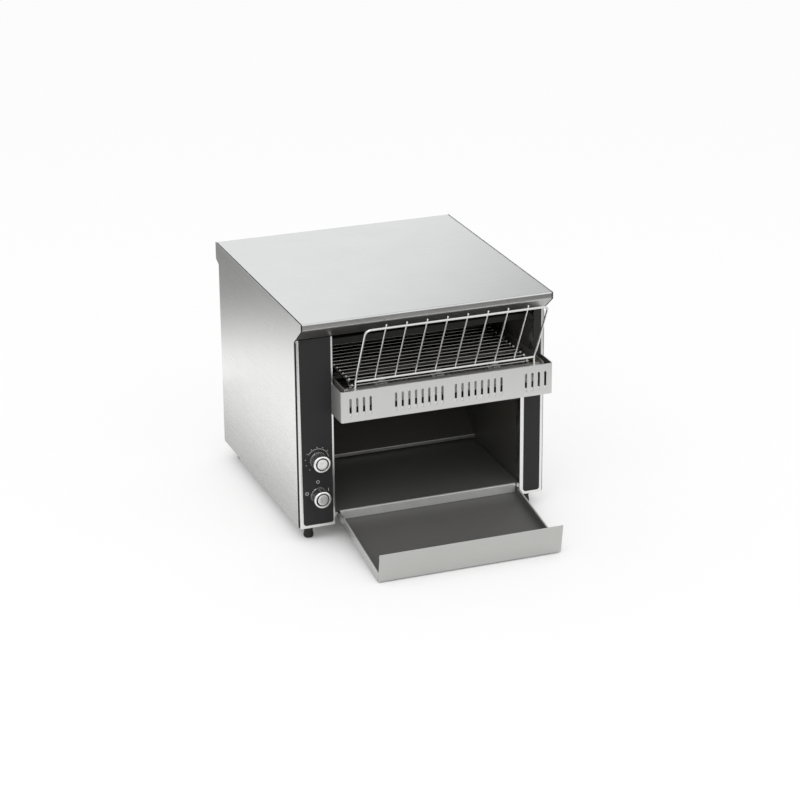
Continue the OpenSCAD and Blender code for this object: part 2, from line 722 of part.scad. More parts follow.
module motor_bracket() {
    x = chain_x - 8.4;
    color(steel) seat() difference() {
        union() {
            block([x, motor_y - 22, sheet], [x + 1.5, motor_y + 46, motor_z + 28]);
            block([x - 22, motor_y - 22, sheet], [x + 1, motor_y + 46, sheet + 1.5]);
        }
        xcyl(x - 1, x + 3, motor_y, motor_z, 6);
        for (y = [-13, 37], z = [-19, 19]) xcyl(x - 1, x + 3, motor_y + y, motor_z + z, 1.6);
    }
}

// ---- Fan behind the chute ----

module fan_frame() {
    y1 = fan_y + 25;
    color(charcoal) seat() difference() {
        union() {
            difference() {
                xz(fan_y, y1) rounded([fan_x - fan_s / 2, fan_z - fan_s / 2], [fan_x + fan_s / 2, fan_z + fan_s / 2], 5);
                ycyl(fan_y - 1, y1 + 1, fan_x, fan_z, fan_s / 2 - 2.5);
            }
            ycyl(y1 - 4, y1, fan_x, fan_z, 19);
            for (a = [30, 150, 270]) translate([fan_x, 0, fan_z]) rotate([0, a, 0])
                block([10, y1 - 4, -2], [fan_s / 2 - 1.5, y1, 2]);
        }
        ycyl(y1 - 6, y1 + 1, fan_x, fan_z, 2.06);
        for (x = [-36, 36], z = [-36, 36]) ycyl(fan_y - 1, y1 + 1, fan_x + x, fan_z + z, 2);
    }
}

module fan_rotor() {
    y0 = fan_y + 2;
    color(black) seat() {
        difference() {
            ycyl(y0, y0 + 17.5, fan_x, fan_z, 17);
            ycyl(y0 + 2, y0 + 18, fan_x, fan_z, 15);
        }
        ycyl(y0 + 1, fan_y + 23.4, fan_x, fan_z, 2);
        for (a = [0:360 / 7:359]) translate([fan_x, y0 + 8.8, fan_z]) rotate([0, a, 0])
            translate([16.2, 0, 0]) rotate([38, 0, 0]) block([0, -8.5, -0.7], [19.4, 8.5, 0.7]);
    }
}

// ---- Controls ----

// Fluted knob with a flange at its foot, pressed on the shaft of the control behind the frame,
// with a raised rim round its cap
module knob(z) {
    y0 = -overlay_t - 0.4;
    top = y0 - knob_h + 0.4;
    difference() {
        union() {
            ycyl(y0 - 3, y0, -knob_x, z, knob_d / 2);
            xz(top + 2.4, y0 - 2.5) translate([-knob_x, z]) difference() {
                circle(r = knob_d / 2 - 0.4);
                for (i = [0:23]) rotate(i * 15) translate([knob_d / 2 - 0.2, 0]) circle(r = 0.9, $fn = 16);
            }
            ycyl(top, top + 3, -knob_x, z, knob_d / 2 - 0.2);
        }
        ycyl(y0 - 5, y0 + 1, -knob_x, z, 9);
        ycyl(y0 - 8, y0 - 4, -knob_x, z, 3);
        ycyl(top - 1, top + 3.6, -knob_x, z, 9.2);
    }
}

module control_shaft(z) { ycyl(-overlay_t - 8.4, 12, -knob_x, z, 3); }

module knob_cap(z) {
    y0 = -overlay_t - 0.4 - knob_h;
    translate([-knob_x, y0 + 4, z]) rotate([90, 0, 0])
        rotate_extrude() polygon([[0, 0], [7.6, 0], [7.6, 2.6], [6.8, 3.6], [0, 4]]);
}

module speed_knob() { color(charcoal) seat() knob(speed_z); }
module speed_knob_cap() { color(chrome) seat() knob_cap(speed_z); }
module speed_control_shaft() { color(brass) seat() control_shaft(speed_z); }
module heat_knob() { color(charcoal) seat() knob(heat_z); }
module heat_knob_cap() { color(chrome) seat() knob_cap(heat_z); }
module heat_control_shaft() { color(brass) seat() control_shaft(heat_z); }

// Threaded neck through the frame, with its nut under the knob
module control_neck(z) {
    ycyl(-4.2, 3, -knob_x, z, 4.6);
    ycyl(-3.4, -overlay_t, -knob_x, z, 7.2, $fn = 6);
}

module speed_potentiometer() {
    color(brass) seat() difference() {
        union() {
            control_neck(speed_z);
            ycyl(sheet, 14, -knob_x, speed_z, 12);
            block([-knob_x - 8, 5, speed_z - 19], [-knob_x + 8, 7, speed_z]);
        }
        ycyl(-5, 12.5, -knob_x, speed_z, 3.05);
    }
}

module heat_switch() {
    color(charcoal) seat() difference() {
        union() {
            control_neck(heat_z);
            xz(sheet, 26) rounded([-knob_x - 15, heat_z - 15], [-knob_x + 15, heat_z + 15], 3);
            for (x = [-9, 0, 9], z = [-8, 8]) block([-knob_x + x - 2.4, 26, heat_z + z - 0.4],
                [-knob_x + x + 2.4, 33, heat_z + z + 0.4]);
        }
        ycyl(-5, 12.5, -knob_x, heat_z, 3.05);
    }
}

// Circuit board on four spacers, with its transformer, heat sink and capacitor
module speed_board() {
    x = wall_l - sheet;
    color([0.1, 0.35, 0.2]) seat() {
        block([x - 7.6, 60, 110], [x - 6, 130, 180]);
        for (y = [64, 126], z = [114, 176]) xcyl(x - 6.2, x, y, z, 3);
        block([x - 25, 70, 118], [x - 7.4, 96, 146]);
        for (y = [104:4:124]) block([x - 22, y, 120], [x - 8.8, y + 1.6, 150]);
        block([x - 10, 104, 120], [x - 7.4, 125.6, 150]);
        xcyl(x - 24, x - 7.4, 84, 164, 7);
    }
}

module terminal_block() {
    color(ceramic) seat() difference() {
        block([-176, 272, sheet], [-148, 314, sheet + 17]);
        for (y = [278, 286, 294, 302]) block([-177, y, sheet + 8], [-147, y + 5, sheet + 18]);
        for (y = [280.5, 288.5, 296.5, 304.5], x = [-170, -154]) zcyl(sheet + 3, sheet + 10, x, y, 1.8);
    }
}

module high_limit_thermostat() {
    x = wall_l - sheet;
    color(ceramic) seat() {
        block([x - 1, 140, 226], [x, 164, 238]);
        xcyl(x - 10, x - 0.8, 152, 232, 8);
        for (y = [147, 157]) block([x - 18, y - 0.4, 229], [x - 9.8, y + 0.4, 235]);
    }
}

// ---- Feet, screws and cable gland ----

module feet() {
    r = foot_d / 2;
    color(black) seat() for (s = [-1, 1], y = foot_ys) translate([s * foot_x, y, -foot_h]) difference() {
        rotate_extrude() {
            polygon([[0, 0], [0.5 * r, 0], [0.5 * r, 1.5], [0.62 * r, 2.2], [r - 0.8, foot_h - 3], [r, foot_h - 2.4],
                [r, foot_h], [0, foot_h]]);
            translate([0.5 * r - 0.2, 1.5]) circle(r = 1.5, $fn = 24);
        }
        translate([0, 0, foot_h - 10]) cylinder(h = 11, r = 2.5);
    }
}

// Studs moulded into the feet, with nuts on the floor of the body
module foot_studs() {
    color(steel) seat() for (s = [-1, 1], y = foot_ys) {
        zcyl(-10, 7, s * foot_x, y, 2.5);
        zcyl(sheet, sheet + 4, s * foot_x, y, 4.6, $fn = 6);
    }
}

module rear_screws() {
    y1 = back_y + sheet;
    color(chrome) seat() for (x = [-172, 172], z = [60, 150, 240]) {
        ycyl(back_y - 3, y1, x, z, 1.75);
        translate([x, y1, z]) rotate([-90, 0, 0]) rotate_extrude()
            polygon([[0, 0], [3.6, 0], [3.4, 1.2], [2.2, 2.2], [0, 2.4]]);
    }
}

module cable_gland() {
    y1 = back_y + sheet;
    color(black) seat() difference() {
        union() {
            ycyl(back_y - 9, y1, gland_x, gland_z, 8);
            ycyl(back_y - 5, back_y, gland_x, gland_z, 11, $fn = 6);
            ycyl(y1, y1 + 4, gland_x, gland_z, 11.5, $fn = 6);
            translate([gland_x, y1 + 4, gland_z]) rotate([-90, 0, 0]) cylinder(h = 7, r1 = 9.5, r2 = 7);
        }
        ycyl(back_y - 10, y1 + 12, gland_x, gland_z, 4);
    }
}

// ---- Pull-out tray ----

module toast_tray() {
    color(steel) seat() {
        intersection() {
            translate([0, tray_y, tray_z]) rotate([tray_tilt, 0, 0]) {
                block([tray_l, 0, 0], [tray_r, tray_len, 1]);
                block([tray_l, 0, 0], [tray_r, 1.2, plate_h]);
                block([tray_l, 0, plate_h - 5], [tray_r, 2.4, plate_h]);
                for (x = [[tray_l, tray_l + 1], [tray_r - 1, tray_r]]) block([x[0], 0, 0], [x[1], tray_len, tray_side]);
                for (x = [[tray_l - 1, tray_l], [tray_r, tray_r + 1]])
                    block([x[0], 1.2, tray_side - 4], [x[1], tray_len, tray_side]);
            }
            block([tray_l - 9, -250, -60], [tray_r + 9, 60, tun_z - 1.3 + 1000]);
            union() {
                block([tray_l - 9, -250, -60], [tray_r + 9, -60, 100]);
                block([tray_l - 9, -61, -60], [tray_r + 9, 60, tun_z - 1.4]);
            }
        }
        for (x = [[tun_l + 1, tray_l + 0.2], [tray_r - 0.2, tun_r - 1]])
            block([x[0], 3, tun_z - 4.2], [x[1], 27, tun_z - 1.4]);
    }
}

// ---- Bread rack ----

rack_x = 22.4;
rack_y = -30;
rack_z = 219.7;

// Welded wire: a bent outer wire with its legs, a bottom bar and wires that stand above the top bar
module bread_rack() {
    r = 1.5;
    bend = 8;
    color(chrome) seat() translate([rack_x, rack_y, rack_z]) {
        for (s = [-1, 1]) {
            zcyl(-30, 0, s * rack_half, 0, r);
            translate([s * rack_half, 0, 0]) sphere(r = r + 0.06);
        }
        rotate([rack_lean, 0, 0]) {
            for (s = [-1, 1]) {
                zcyl(0, rack_len - bend, s * rack_half, 0, r);
                translate([s * (rack_half - bend), 0, rack_len - bend]) rotate([90, 0, 0])
                    rotate([0, 0, s > 0 ? 0 : 90]) rotate_extrude(angle = 90) translate([bend, 0]) circle(r = r);
            }
            xcyl(-rack_half + bend, rack_half - bend, 0, rack_len, r);
            xcyl(-rack_half, rack_half, 0, 0, r);
            for (i = [1:rack_n]) zcyl(-1.2, rack_len + 4, -rack_half + i * 2 * rack_half / (rack_n + 1), 2.3, 1.1);
        }
    }
}

base_pan();
left_side_panel();
right_side_panel();
top_cover();
back_panel();
control_frame();
control_overlay();
right_front_frame();
right_overlay();
left_chamber_wall();
right_chamber_wall();
upper_reflector();
upper_heater_tubes();
upper_heater_bushes();
lower_reflector();
lower_heater_tubes();
lower_heater_bushes();
toast_chute();
landing_tray();
slotted_guard();
guard_flanges();
left_conveyor_rail();
right_conveyor_rail();
rail_ties();
belt_carriers();
idler_bushings();
drive_bushings();
belt_upper_run();
belt_rear_wrap();
belt_lower_run();
belt_front_wrap();
gear_motor();
gearbox();
motor_bracket();
drive_chain();
fan_frame();
speed_potentiometer();
heat_switch();
speed_board();
terminal_block();
high_limit_thermostat();
feet();
foot_studs();
rear_screws();
cable_gland();
toast_tray();
bread_rack();
speed_knob();
speed_knob_cap();
speed_control_shaft();
heat_knob();
heat_knob_cap();
heat_control_shaft();
drive_shaft();
drive_sprockets();
shaft_sprocket();
idler_shaft();
idler_spools();
motor_sprocket();
fan_rotor();
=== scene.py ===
import math

import bmesh
import bpy
from mathutils import Matrix, Vector


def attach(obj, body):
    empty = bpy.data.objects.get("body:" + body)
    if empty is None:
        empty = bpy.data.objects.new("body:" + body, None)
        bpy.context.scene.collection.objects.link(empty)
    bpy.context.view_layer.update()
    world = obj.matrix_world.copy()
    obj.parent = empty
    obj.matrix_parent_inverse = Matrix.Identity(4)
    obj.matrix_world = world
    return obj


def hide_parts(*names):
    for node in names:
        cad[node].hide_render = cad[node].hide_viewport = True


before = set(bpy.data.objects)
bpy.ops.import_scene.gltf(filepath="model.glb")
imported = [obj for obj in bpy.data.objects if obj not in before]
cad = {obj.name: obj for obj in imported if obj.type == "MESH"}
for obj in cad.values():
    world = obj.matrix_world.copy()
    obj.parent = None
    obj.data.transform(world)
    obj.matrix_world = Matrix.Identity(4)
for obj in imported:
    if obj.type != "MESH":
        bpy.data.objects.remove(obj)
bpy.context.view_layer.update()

MM = 0.001

# The front plane and the bottom edge of the body, in the part's own frame
FRONT_Y = -0.0996145
BODY_Z = 0.022

# Where the axes of the two knobs stand, in millimetres as in spot
KNOB_X, SPEED_Z, HEAT_Z = -155.5, 101.5, 48.7


def spot(x, y, z):
    """A point given in millimetres from the front plane and the body's bottom edge."""
    return Vector((x * MM, y * MM + FRONT_Y, z * MM + BODY_Z))


# ---------------------------------------------------------------- materials

def shader(name):
    """A new material, its node tree and its main shader."""
    finish = bpy.data.materials.new(name)
    finish.use_nodes = True
    tree = finish.node_tree
    return finish, tree, tree.nodes["Principled BSDF"]


def place_pattern(tree, scale, offset=(0.0, 0.0, 0.0)):
    """Object coordinates, scaled and moved for a pattern."""
    where = tree.nodes.new("ShaderNodeTexCoord")
    mapping = tree.nodes.new("ShaderNodeMapping")
    mapping.inputs["Location"].default_value = offset
    mapping.inputs["Scale"].default_value = scale
    tree.links.new(where.outputs["Object"], mapping.inputs["Vector"])
    return mapping.outputs["Vector"]


def noise(tree, scale, offset=(0.0, 0.0, 0.0), detail=3.0, rough=0.55):
    """A noise pattern; scale says how fine it is along each axis."""
    texture = tree.nodes.new("ShaderNodeTexNoise")
    texture.inputs["Scale"].default_value = 1.0
    texture.inputs["Detail"].default_value = detail
    texture.inputs["Roughness"].default_value = rough
    tree.links.new(place_pattern(tree, scale, offset), texture.inputs["Vector"])
    return texture.outputs["Fac"]


def spread(tree, fac, low, high, start=0.3, end=0.7):
    """The values from start to end of a pattern, spread from low to high."""
    ranged = tree.nodes.new("ShaderNodeMapRange")
    ranged.inputs["From Min"].default_value = start
    ranged.inputs["From Max"].default_value = end
    ranged.inputs["To Min"].default_value = low
    ranged.inputs["To Max"].default_value = high
    tree.links.new(fac, ranged.inputs["Value"])
    return ranged.outputs["Result"]


def tones(tree, fac, stops):
    """Colours along a pattern, as (place, (r, g, b))."""
    ramp = tree.nodes.new("ShaderNodeValToRGB")
    ramp.color_ramp.elements[0].position = stops[0][0]
    ramp.color_ramp.elements[1].position = stops[-1][0]
    for place, _ in stops[1:-1]:
        ramp.color_ramp.elements.new(place)
    for element, (_, colour) in zip(ramp.color_ramp.elements, stops):
        element.color = (*colour, 1.0)
    tree.links.new(fac, ramp.inputs["Fac"])
    return ramp.outputs["Color"]


def blend_tones(tree, share, a, b):
    """Two colour patterns mixed, with this share of the second."""
    mix = tree.nodes.new("ShaderNodeMix")
    mix.data_type = "RGBA"
    mix.inputs["Factor"].default_value = share
    tree.links.new(a, mix.inputs["A"])
    tree.links.new(b, mix.inputs["B"])
    return mix.outputs["Result"]


def relief(tree, main, fac, strength, depth):
    """Raises a pattern by depth in metres, over any relief that is there already."""
    bump = tree.nodes.new("ShaderNodeBump")
    bump.inputs["Strength"].default_value = strength
    bump.inputs["Distance"].default_value = depth
    tree.links.new(fac, bump.inputs["Height"])
    previous = main.inputs["Normal"].links
    if previous:
        tree.links.new(previous[0].from_socket, bump.inputs["Normal"])
    tree.links.new(bump.outputs["Normal"], main.inputs["Normal"])


def shade(tone, factor):
    """A tone made lighter or darker."""
    return tuple(min(1.0, c * factor) for c in tone)


def around(tone, contrast, low=0.3, high=0.7):
    """Two stops, one darker and one lighter than a tone."""
    return [(low, shade(tone, 1 - contrast)), (high, shade(tone, 1 + contrast))]


def brushed(name, tone, rough, grain, depth=0.00003):
    """Brushed sheet metal. The grain runs along the axis given by grain."""
    finish, tree, main = shader(name)
    along_grain, across_grain = 9.0, 1100.0
    stretch = tuple(along_grain if axis == grain else across_grain for axis in "XYZ")
    lines = noise(tree, stretch, detail=4.0, rough=0.7)
    handled = noise(tree, (14.0, 14.0, 14.0), (3.1, 1.7, 5.3), detail=2.0)
    fine = tones(tree, lines, around(tone, 0.05, 0.25, 0.75))
    worn = tones(tree, handled, around(tone, 0.04))
    tree.links.new(blend_tones(tree, 0.4, fine, worn), main.inputs["Base Color"])
    main.inputs["Metallic"].default_value = 1.0
    tree.links.new(spread(tree, lines, rough - 0.05, rough + 0.07), main.inputs["Roughness"])
    relief(tree, main, lines, 0.2, depth)
    return finish


def dull_metal(name, tone, rough, metallic, scale, contrast, depth=0.00004):
    """Metal, bare or coated, without a grain direction."""
    finish, tree, main = shader(name)
    cloud = noise(tree, (scale, scale, scale), (1.3, 4.1, 2.2), detail=5.0, rough=0.6)
    speck = noise(tree, (2400.0, 2400.0, 2400.0), detail=2.0)
    base = tones(tree, cloud, around(tone, contrast, 0.3, 0.72))
    grit = tones(tree, speck, around(tone, 0.15))
    tree.links.new(blend_tones(tree, 0.25, base, grit), main.inputs["Base Color"])
    main.inputs["Metallic"].default_value = metallic
    tree.links.new(spread(tree, cloud, rough * 0.9, rough * 1.1), main.inputs["Roughness"])
    relief(tree, main, speck, 0.25, depth)
    return finish


def moulded(name, tone, rough, grain_scale, depth, contrast=0.12, shine=0.5):
    """Moulded plastic, rubber or ceramic with a fine skin texture."""
    finish, tree, main = shader(name)
    main.inputs["Specular IOR Level"].default_value = shine
    skin = noise(tree, (grain_scale,) * 3, detail=3.0)
    cloud = noise(tree, (60.0, 60.0, 60.0), (2.0, 7.0, 1.0), detail=2.0)
    base = tones(tree, cloud, around(tone, contrast))
    fine = tones(tree, skin, around(tone, 0.1))
    tree.links.new(blend_tones(tree, 0.5, base, fine), main.inputs["Base Color"])
    tree.links.new(spread(tree, skin, rough - 0.06, rough + 0.06), main.inputs["Roughness"])
    relief(tree, main, skin, 0.4, depth)
    return finish


def turned(name, tone, rough, centre):
    """Lathe-turned metal: fine rings round an axis along Y through centre."""
    finish, tree, main = shader(name)
    where = place_pattern(tree, (1.0, 0.0, 1.0), (-centre.x, 0.0, -centre.z))
    radius = tree.nodes.new("ShaderNodeVectorMath")
    radius.operation = "LENGTH"
    tree.links.new(where, radius.inputs[0])
    rings = tree.nodes.new("ShaderNodeTexNoise")
    rings.noise_dimensions = "1D"
    rings.inputs["Scale"].default_value = 2600.0
    rings.inputs["Detail"].default_value = 2.0
    tree.links.new(radius.outputs["Value"], rings.inputs["W"])
    fac = rings.outputs["Fac"]
    colours = tones(tree, fac, [(0.3, shade(tone, 0.88)), (0.7, shade(tone, 1.08))])
    tree.links.new(colours, main.inputs["Base Color"])
    main.inputs["Metallic"].default_value = 1.0
    tree.links.new(spread(tree, fac, rough - 0.06, rough + 0.08), main.inputs["Roughness"])
    relief(tree, main, fac, 0.3, 0.00005)
    return finish


shell_metal = brushed("shell_brushed_steel", (0.88, 0.885, 0.87), 0.22, "Y")
top_metal = brushed("top_brushed_steel", (0.70, 0.712, 0.708), 0.22, "X")
# The lip and the slope below the head are darker copies of the top's steel: painted shade where these
# faces turn down and away from the light.
lip_shaded_metal = brushed("lip_painted_shade_steel", (0.42, 0.42, 0.41), 0.26, "X")
slope_shaded_metal = brushed("slope_painted_shade_steel", (0.48, 0.48, 0.465), 0.36, "X")
front_metal = brushed("front_frame_steel", (0.80, 0.80, 0.79), 0.26, "Z")
guard_metal = brushed("guard_satin_steel", (0.71, 0.71, 0.70), 0.38, "X", depth=0.00002)
# The guard's side wings: a darker copy of the guard's steel, painted shade and a painted reflection of
# the black film beside them.
wing_shaded_metal = brushed("guard_wing_painted_shade_steel", (0.50, 0.50, 0.49), 0.60, "Y", depth=0.00002)
ledge_metal = brushed("guard_ledge_steel", (0.80, 0.80, 0.79), 0.46, "X", depth=0.00002)
tray_metal = brushed("tray_satin_steel", (0.515, 0.515, 0.50), 0.36, "X", depth=0.00002)
base_metal = brushed("base_pan_steel", (0.50, 0.50, 0.49), 0.36, "X")
dark_metal = dull_metal("heat_dulled_sheet", (0.115, 0.112, 0.105), 0.42, 0.85, 12.0, 0.12)
chute_coating = dull_metal("chute_dark_coating", (0.072, 0.070, 0.062), 0.34, 0.0, 9.0, 0.06,
                           depth=0.00001)
# Near black for the reflectors, the belt carriers and the belt's lower run: partly soot, partly painted
# shade of the closed chamber.
soot_and_shade_metal = dull_metal("sooted_and_painted_shade_sheet", (0.012, 0.0115, 0.0105), 0.60, 0.3, 12.0, 0.15,
                          depth=0.00001)
coated_metal = dull_metal("landing_coating", (0.094, 0.094, 0.090), 0.36, 0.0, 9.0, 0.06,
                          depth=0.00001)
# The inside of the toast pan, the same steel as its outside, painted dark: painted shade and a painted
# reflection of the dark front above it.
pan_shaded_metal = dull_metal("tray_inside_painted_shade", (0.108, 0.107, 0.103), 0.42, 0.0, 9.0, 0.06, depth=0.00001)
lip_satin = dull_metal("landing_lip_satin", (0.60, 0.60, 0.59), 0.40, 0.45, 40.0, 0.06)
belt_metal = dull_metal("belt_wire_steel", (0.34, 0.335, 0.32), 0.18, 1.0, 60.0, 0.05,
                        depth=0.000002)
# The belt's front wrap, the same wire as the upper run, in a lighter tone: a painted highlight.
wrap_lit_metal = dull_metal("belt_nose_painted_highlight_steel", (0.52, 0.51, 0.49), 0.26, 1.0, 400.0, 0.12)
rail_metal = dull_metal("rail_dark_steel", (0.30, 0.30, 0.29), 0.42, 0.7, 60.0, 0.10)
rack_metal = dull_metal("rack_polished_wire", (0.80, 0.80, 0.79), 0.13, 1.0, 70.0, 0.05,
                        depth=0.00001)
machined_metal = dull_metal("machined_steel", (0.52, 0.52, 0.51), 0.28, 1.0, 120.0, 0.10)
bronze_metal = dull_metal("sintered_bronze", (0.52, 0.36, 0.17), 0.45, 1.0, 400.0, 0.2)
screw_metal = dull_metal("screw_steel", (0.58, 0.58, 0.57), 0.24, 1.0, 300.0, 0.08)
motor_metal = dull_metal("motor_zinc_plate", (0.42, 0.41, 0.36), 0.38, 0.9, 80.0, 0.15)
knurl_metal = dull_metal("knob_aluminium", (0.96, 0.96, 0.95), 0.22, 1.0, 60.0, 0.04,
                         depth=0.000003)
groove_metal = dull_metal("knob_groove_shade", (0.07, 0.07, 0.069), 0.55, 0.5, 60.0, 0.05,
                          depth=0.000005)
# Near black for the rim of each side panel along the head: the painted shadow of the gap between panel
# and head cover.
rim_shadow_metal = brushed("panel_rim_painted_shadow", (0.03, 0.03, 0.029), 0.45, "Y")
# The bend under the lip is darker than the top as painted shade, and a little lighter than the lip as a
# painted highlight line.
bend_shade_and_highlight_metal = brushed("lip_bend_painted_shade_and_highlight", (0.48, 0.48, 0.47), 0.26, "X")
inner_strip_metal = dull_metal("guard_inner_strip", (0.80, 0.80, 0.79), 0.50, 0.15, 60.0, 0.05)
# Near-black heater tubes: partly their own dark tone, partly painted shade that hides them in the
# chamber.
tube_shaded_finish = moulded("heater_tube_quartz_and_painted_shade", (0.040, 0.038, 0.035), 0.34, 900.0, 0.00002, 0.08)
ceramic_finish = moulded("bush_ceramic", (0.72, 0.69, 0.62), 0.62, 1500.0, 0.00005, 0.06)
overlay_finish = moulded("overlay_film", (0.017, 0.017, 0.0172), 0.50, 2600.0, 0.00002, 0.08, 0.30)
rubber_finish = moulded("foot_rubber", (0.018, 0.018, 0.018), 0.68, 1400.0, 0.00006, 0.2)
plastic_finish = moulded("black_nylon", (0.022, 0.022, 0.023), 0.46, 1800.0, 0.00004, 0.15)
board_finish = moulded("board_laminate", (0.03, 0.15, 0.07), 0.38, 500.0, 0.00004, 0.3)
# Near black for the strips that paint the shadow in the seams.
seam_shadow_finish = moulded("seam_painted_shadow", (0.012, 0.012, 0.012), 0.7, 1500.0, 0.00004, 0.2, 0.3)
print_finish = moulded("dial_print", (0.52, 0.52, 0.51), 0.5, 2500.0, 0.00001, 0.08)
ring_metal = {
    "speed_knob_skirt": turned("speed_ring_turned", (0.95, 0.95, 0.94), 0.24, spot(KNOB_X, 0, SPEED_Z)),
    "heat_knob_skirt": turned("heat_ring_turned", (0.95, 0.95, 0.94), 0.24, spot(KNOB_X, 0, HEAT_Z)),
}
cap_metal = {
    "speed_knob_skirt": turned("speed_cap_turned", (0.90, 0.90, 0.89), 0.30, spot(KNOB_X, 0, SPEED_Z)),
    "heat_knob_skirt": turned("heat_cap_turned", (0.88, 0.88, 0.87), 0.30, spot(KNOB_X, 0, HEAT_Z)),
}

FINISHES = {
    "base_pan": base_metal, "left_side_panel": shell_metal, "right_side_panel": shell_metal,
    "top_cover": top_metal, "back_panel": shell_metal, "control_frame": front_metal,
    "right_front_frame": front_metal, "control_overlay": overlay_finish,
    "right_overlay": overlay_finish, "left_chamber_wall": chute_coating,
    "right_chamber_wall": chute_coating, "upper_reflector": soot_and_shade_metal,
    "lower_reflector": soot_and_shade_metal, "upper_heater_tubes": tube_shaded_finish,
    "lower_heater_tubes": tube_shaded_finish, "upper_heater_bushes": ceramic_finish,
    "lower_heater_bushes": ceramic_finish, "toast_chute": dark_metal,
    "landing_tray": coated_metal, "slotted_guard": guard_metal, "guard_flanges": ledge_metal,
    "left_conveyor_rail": rail_metal, "right_conveyor_rail": rail_metal,
    "rail_ties": dark_metal, "belt_carriers": soot_and_shade_metal,
    "idler_bushings": bronze_metal, "drive_bushings": bronze_metal,
    "belt_upper_run": belt_metal, "belt_rear_wrap": belt_metal,
    # The lower run and the front wrap are the same wire as the upper run: painted shade below, painted
    # highlight at the front.
    "belt_lower_run": soot_and_shade_metal, "belt_front_wrap": wrap_lit_metal,
    "gear_motor": motor_metal, "motor_bracket": base_metal, "drive_chain": machined_metal,
    "fan_frame": plastic_finish, "fan_rotor": plastic_finish,
    "speed_potentiometer": bronze_metal, "heat_switch": plastic_finish,
    "speed_board": board_finish, "terminal_block": ceramic_finish,
    "high_limit_thermostat": ceramic_finish, "feet": rubber_finish,
    "foot_studs": screw_metal, "rear_screws": screw_metal, "cable_gland": plastic_finish,
    "toast_tray": tray_metal, "bread_rack": rack_metal, "speed_knob": knurl_metal,
    "heat_knob": knurl_metal, "drive_shaft": machined_metal,
    "drive_sprockets": machined_metal, "shaft_sprocket": machined_metal,
    "idler_shaft": machined_metal, "idler_spools": rail_metal,
    "motor_sprocket": machined_metal, "gearbox": motor_metal,
    "speed_control_shaft": machined_metal, "heat_control_shaft": machined_metal,
}


def dress(piece, finish):
    """Gives the whole piece one finish."""
    if not piece.data.materials:
        piece.data.materials.append(finish)
    for place in piece.material_slots:
        place.material = finish


for node_name, node_finish in FINISHES.items():
    dress(cad[node_name], node_finish)


# ---------------------------------------------------------------- modelling

def clear_selection():
    """Leaves editing and selects nothing."""
    if bpy.context.mode != "OBJECT":
        bpy.ops.object.mode_set(mode="OBJECT")
    bpy.ops.object.select_all(action="DESELECT")


def choose(piece):
    """Makes a piece the only one selected."""
    clear_selection()
    piece.select_set(True)
    bpy.context.view_layer.objects.active = piece


def name_piece(name):
    """Names the piece just made and puts its place, turn and size into its mesh."""
    piece = bpy.context.object
    piece.name = piece.data.name = name
    choose(piece)
    bpy.ops.object.transform_apply(location=True, rotation=True, scale=True)
    return piece


def block(name, low, high):
    """Starts a piece as a block between two corners."""
    clear_selection()
    a, b = spot(*low), spot(*high)
    bpy.ops.mesh.primitive_cube_add(size=1.0, location=(a + b) / 2, scale=b - a)
    return name_piece(name)


def drum(name, centre, radius, depth, sides=64, lean=math.pi / 2):
    """Starts a piece as a drum round an axis along Y, or along Z with no lean."""
    clear_selection()
    bpy.ops.mesh.primitive_cylinder_add(vertices=sides, radius=radius * MM, depth=depth * MM,
                                        location=spot(*centre), rotation=(lean, 0.0, 0.0))
    return name_piece(name)


def draw_line(name, points):
    """Starts a piece as one point, extruded on from point to point."""
    clear_selection()
    places = [spot(*point) for point in points]
    bpy.ops.mesh.primitive_plane_add(size=0.002, location=places[0])
    piece = name_piece(name)
    bpy.ops.object.mode_set(mode="EDIT")
    bpy.ops.mesh.select_mode(type="VERT")
    bpy.ops.mesh.select_all(action="SELECT")
    bpy.ops.mesh.merge(type="CENTER")
    for here, there in zip(places, places[1:]):
        bpy.ops.mesh.extrude_region_move(TRANSFORM_OT_translate={"value": there - here})
    stop_work()
    return piece


def work_on(piece, kind="FACE"):
    """Opens a piece for editing with nothing selected."""
    choose(piece)
    bpy.ops.object.mode_set(mode="EDIT")
    bpy.ops.mesh.select_mode(type=kind)
    bpy.ops.mesh.select_all(action="DESELECT")


def work_on_all(piece, kind="FACE"):
    """Opens a piece for editing with all of it selected."""
    work_on(piece, kind)
    bpy.ops.mesh.select_all(action="SELECT")


def stop_work():
    """Closes the piece that is open for editing."""
    bpy.ops.object.mode_set(mode="OBJECT")


def from_front(point):
    """A point of a mesh in millimetres from the front plane and the body's bottom edge."""
    return point.x / MM, (point.y - FRONT_Y) / MM, (point.z - BODY_Z) / MM


def pick(piece, kind, test):
    """Selects the faces, edges or points that pass a test by place, and by normal for faces."""
    bpy.ops.mesh.select_mode(type=kind)
    bpy.ops.mesh.select_all(action="DESELECT")
    mesh = bmesh.from_edit_mesh(piece.data)
    if kind == "FACE":
        picked = [row for row in mesh.faces if test(*from_front(row.calc_center_median()), row.normal)]
    elif kind == "EDGE":
        middles = [(row, (row.verts[0].co + row.verts[1].co) / 2) for row in mesh.edges]
        picked = [row for row, middle in middles if test(*from_front(middle))]
    else:
        picked = [row for row in mesh.verts if test(*from_front(row.co))]
    if not picked:
        raise ValueError("nothing was picked on " + piece.name)
    for row in picked:
        row.select_set(True)
    mesh.select_flush_mode()
    bmesh.update_edit_mesh(piece.data)


def push(x, y, z):
    """Moves what is selected, in millimetres."""
    bpy.ops.transform.translate(value=(x * MM, y * MM, z * MM))


def pull_out(x, y, z):
    """Extrudes what is selected, in millimetres."""
    bpy.ops.mesh.extrude_region_move(TRANSFORM_OT_translate={"value": (x * MM, y * MM, z * MM)})


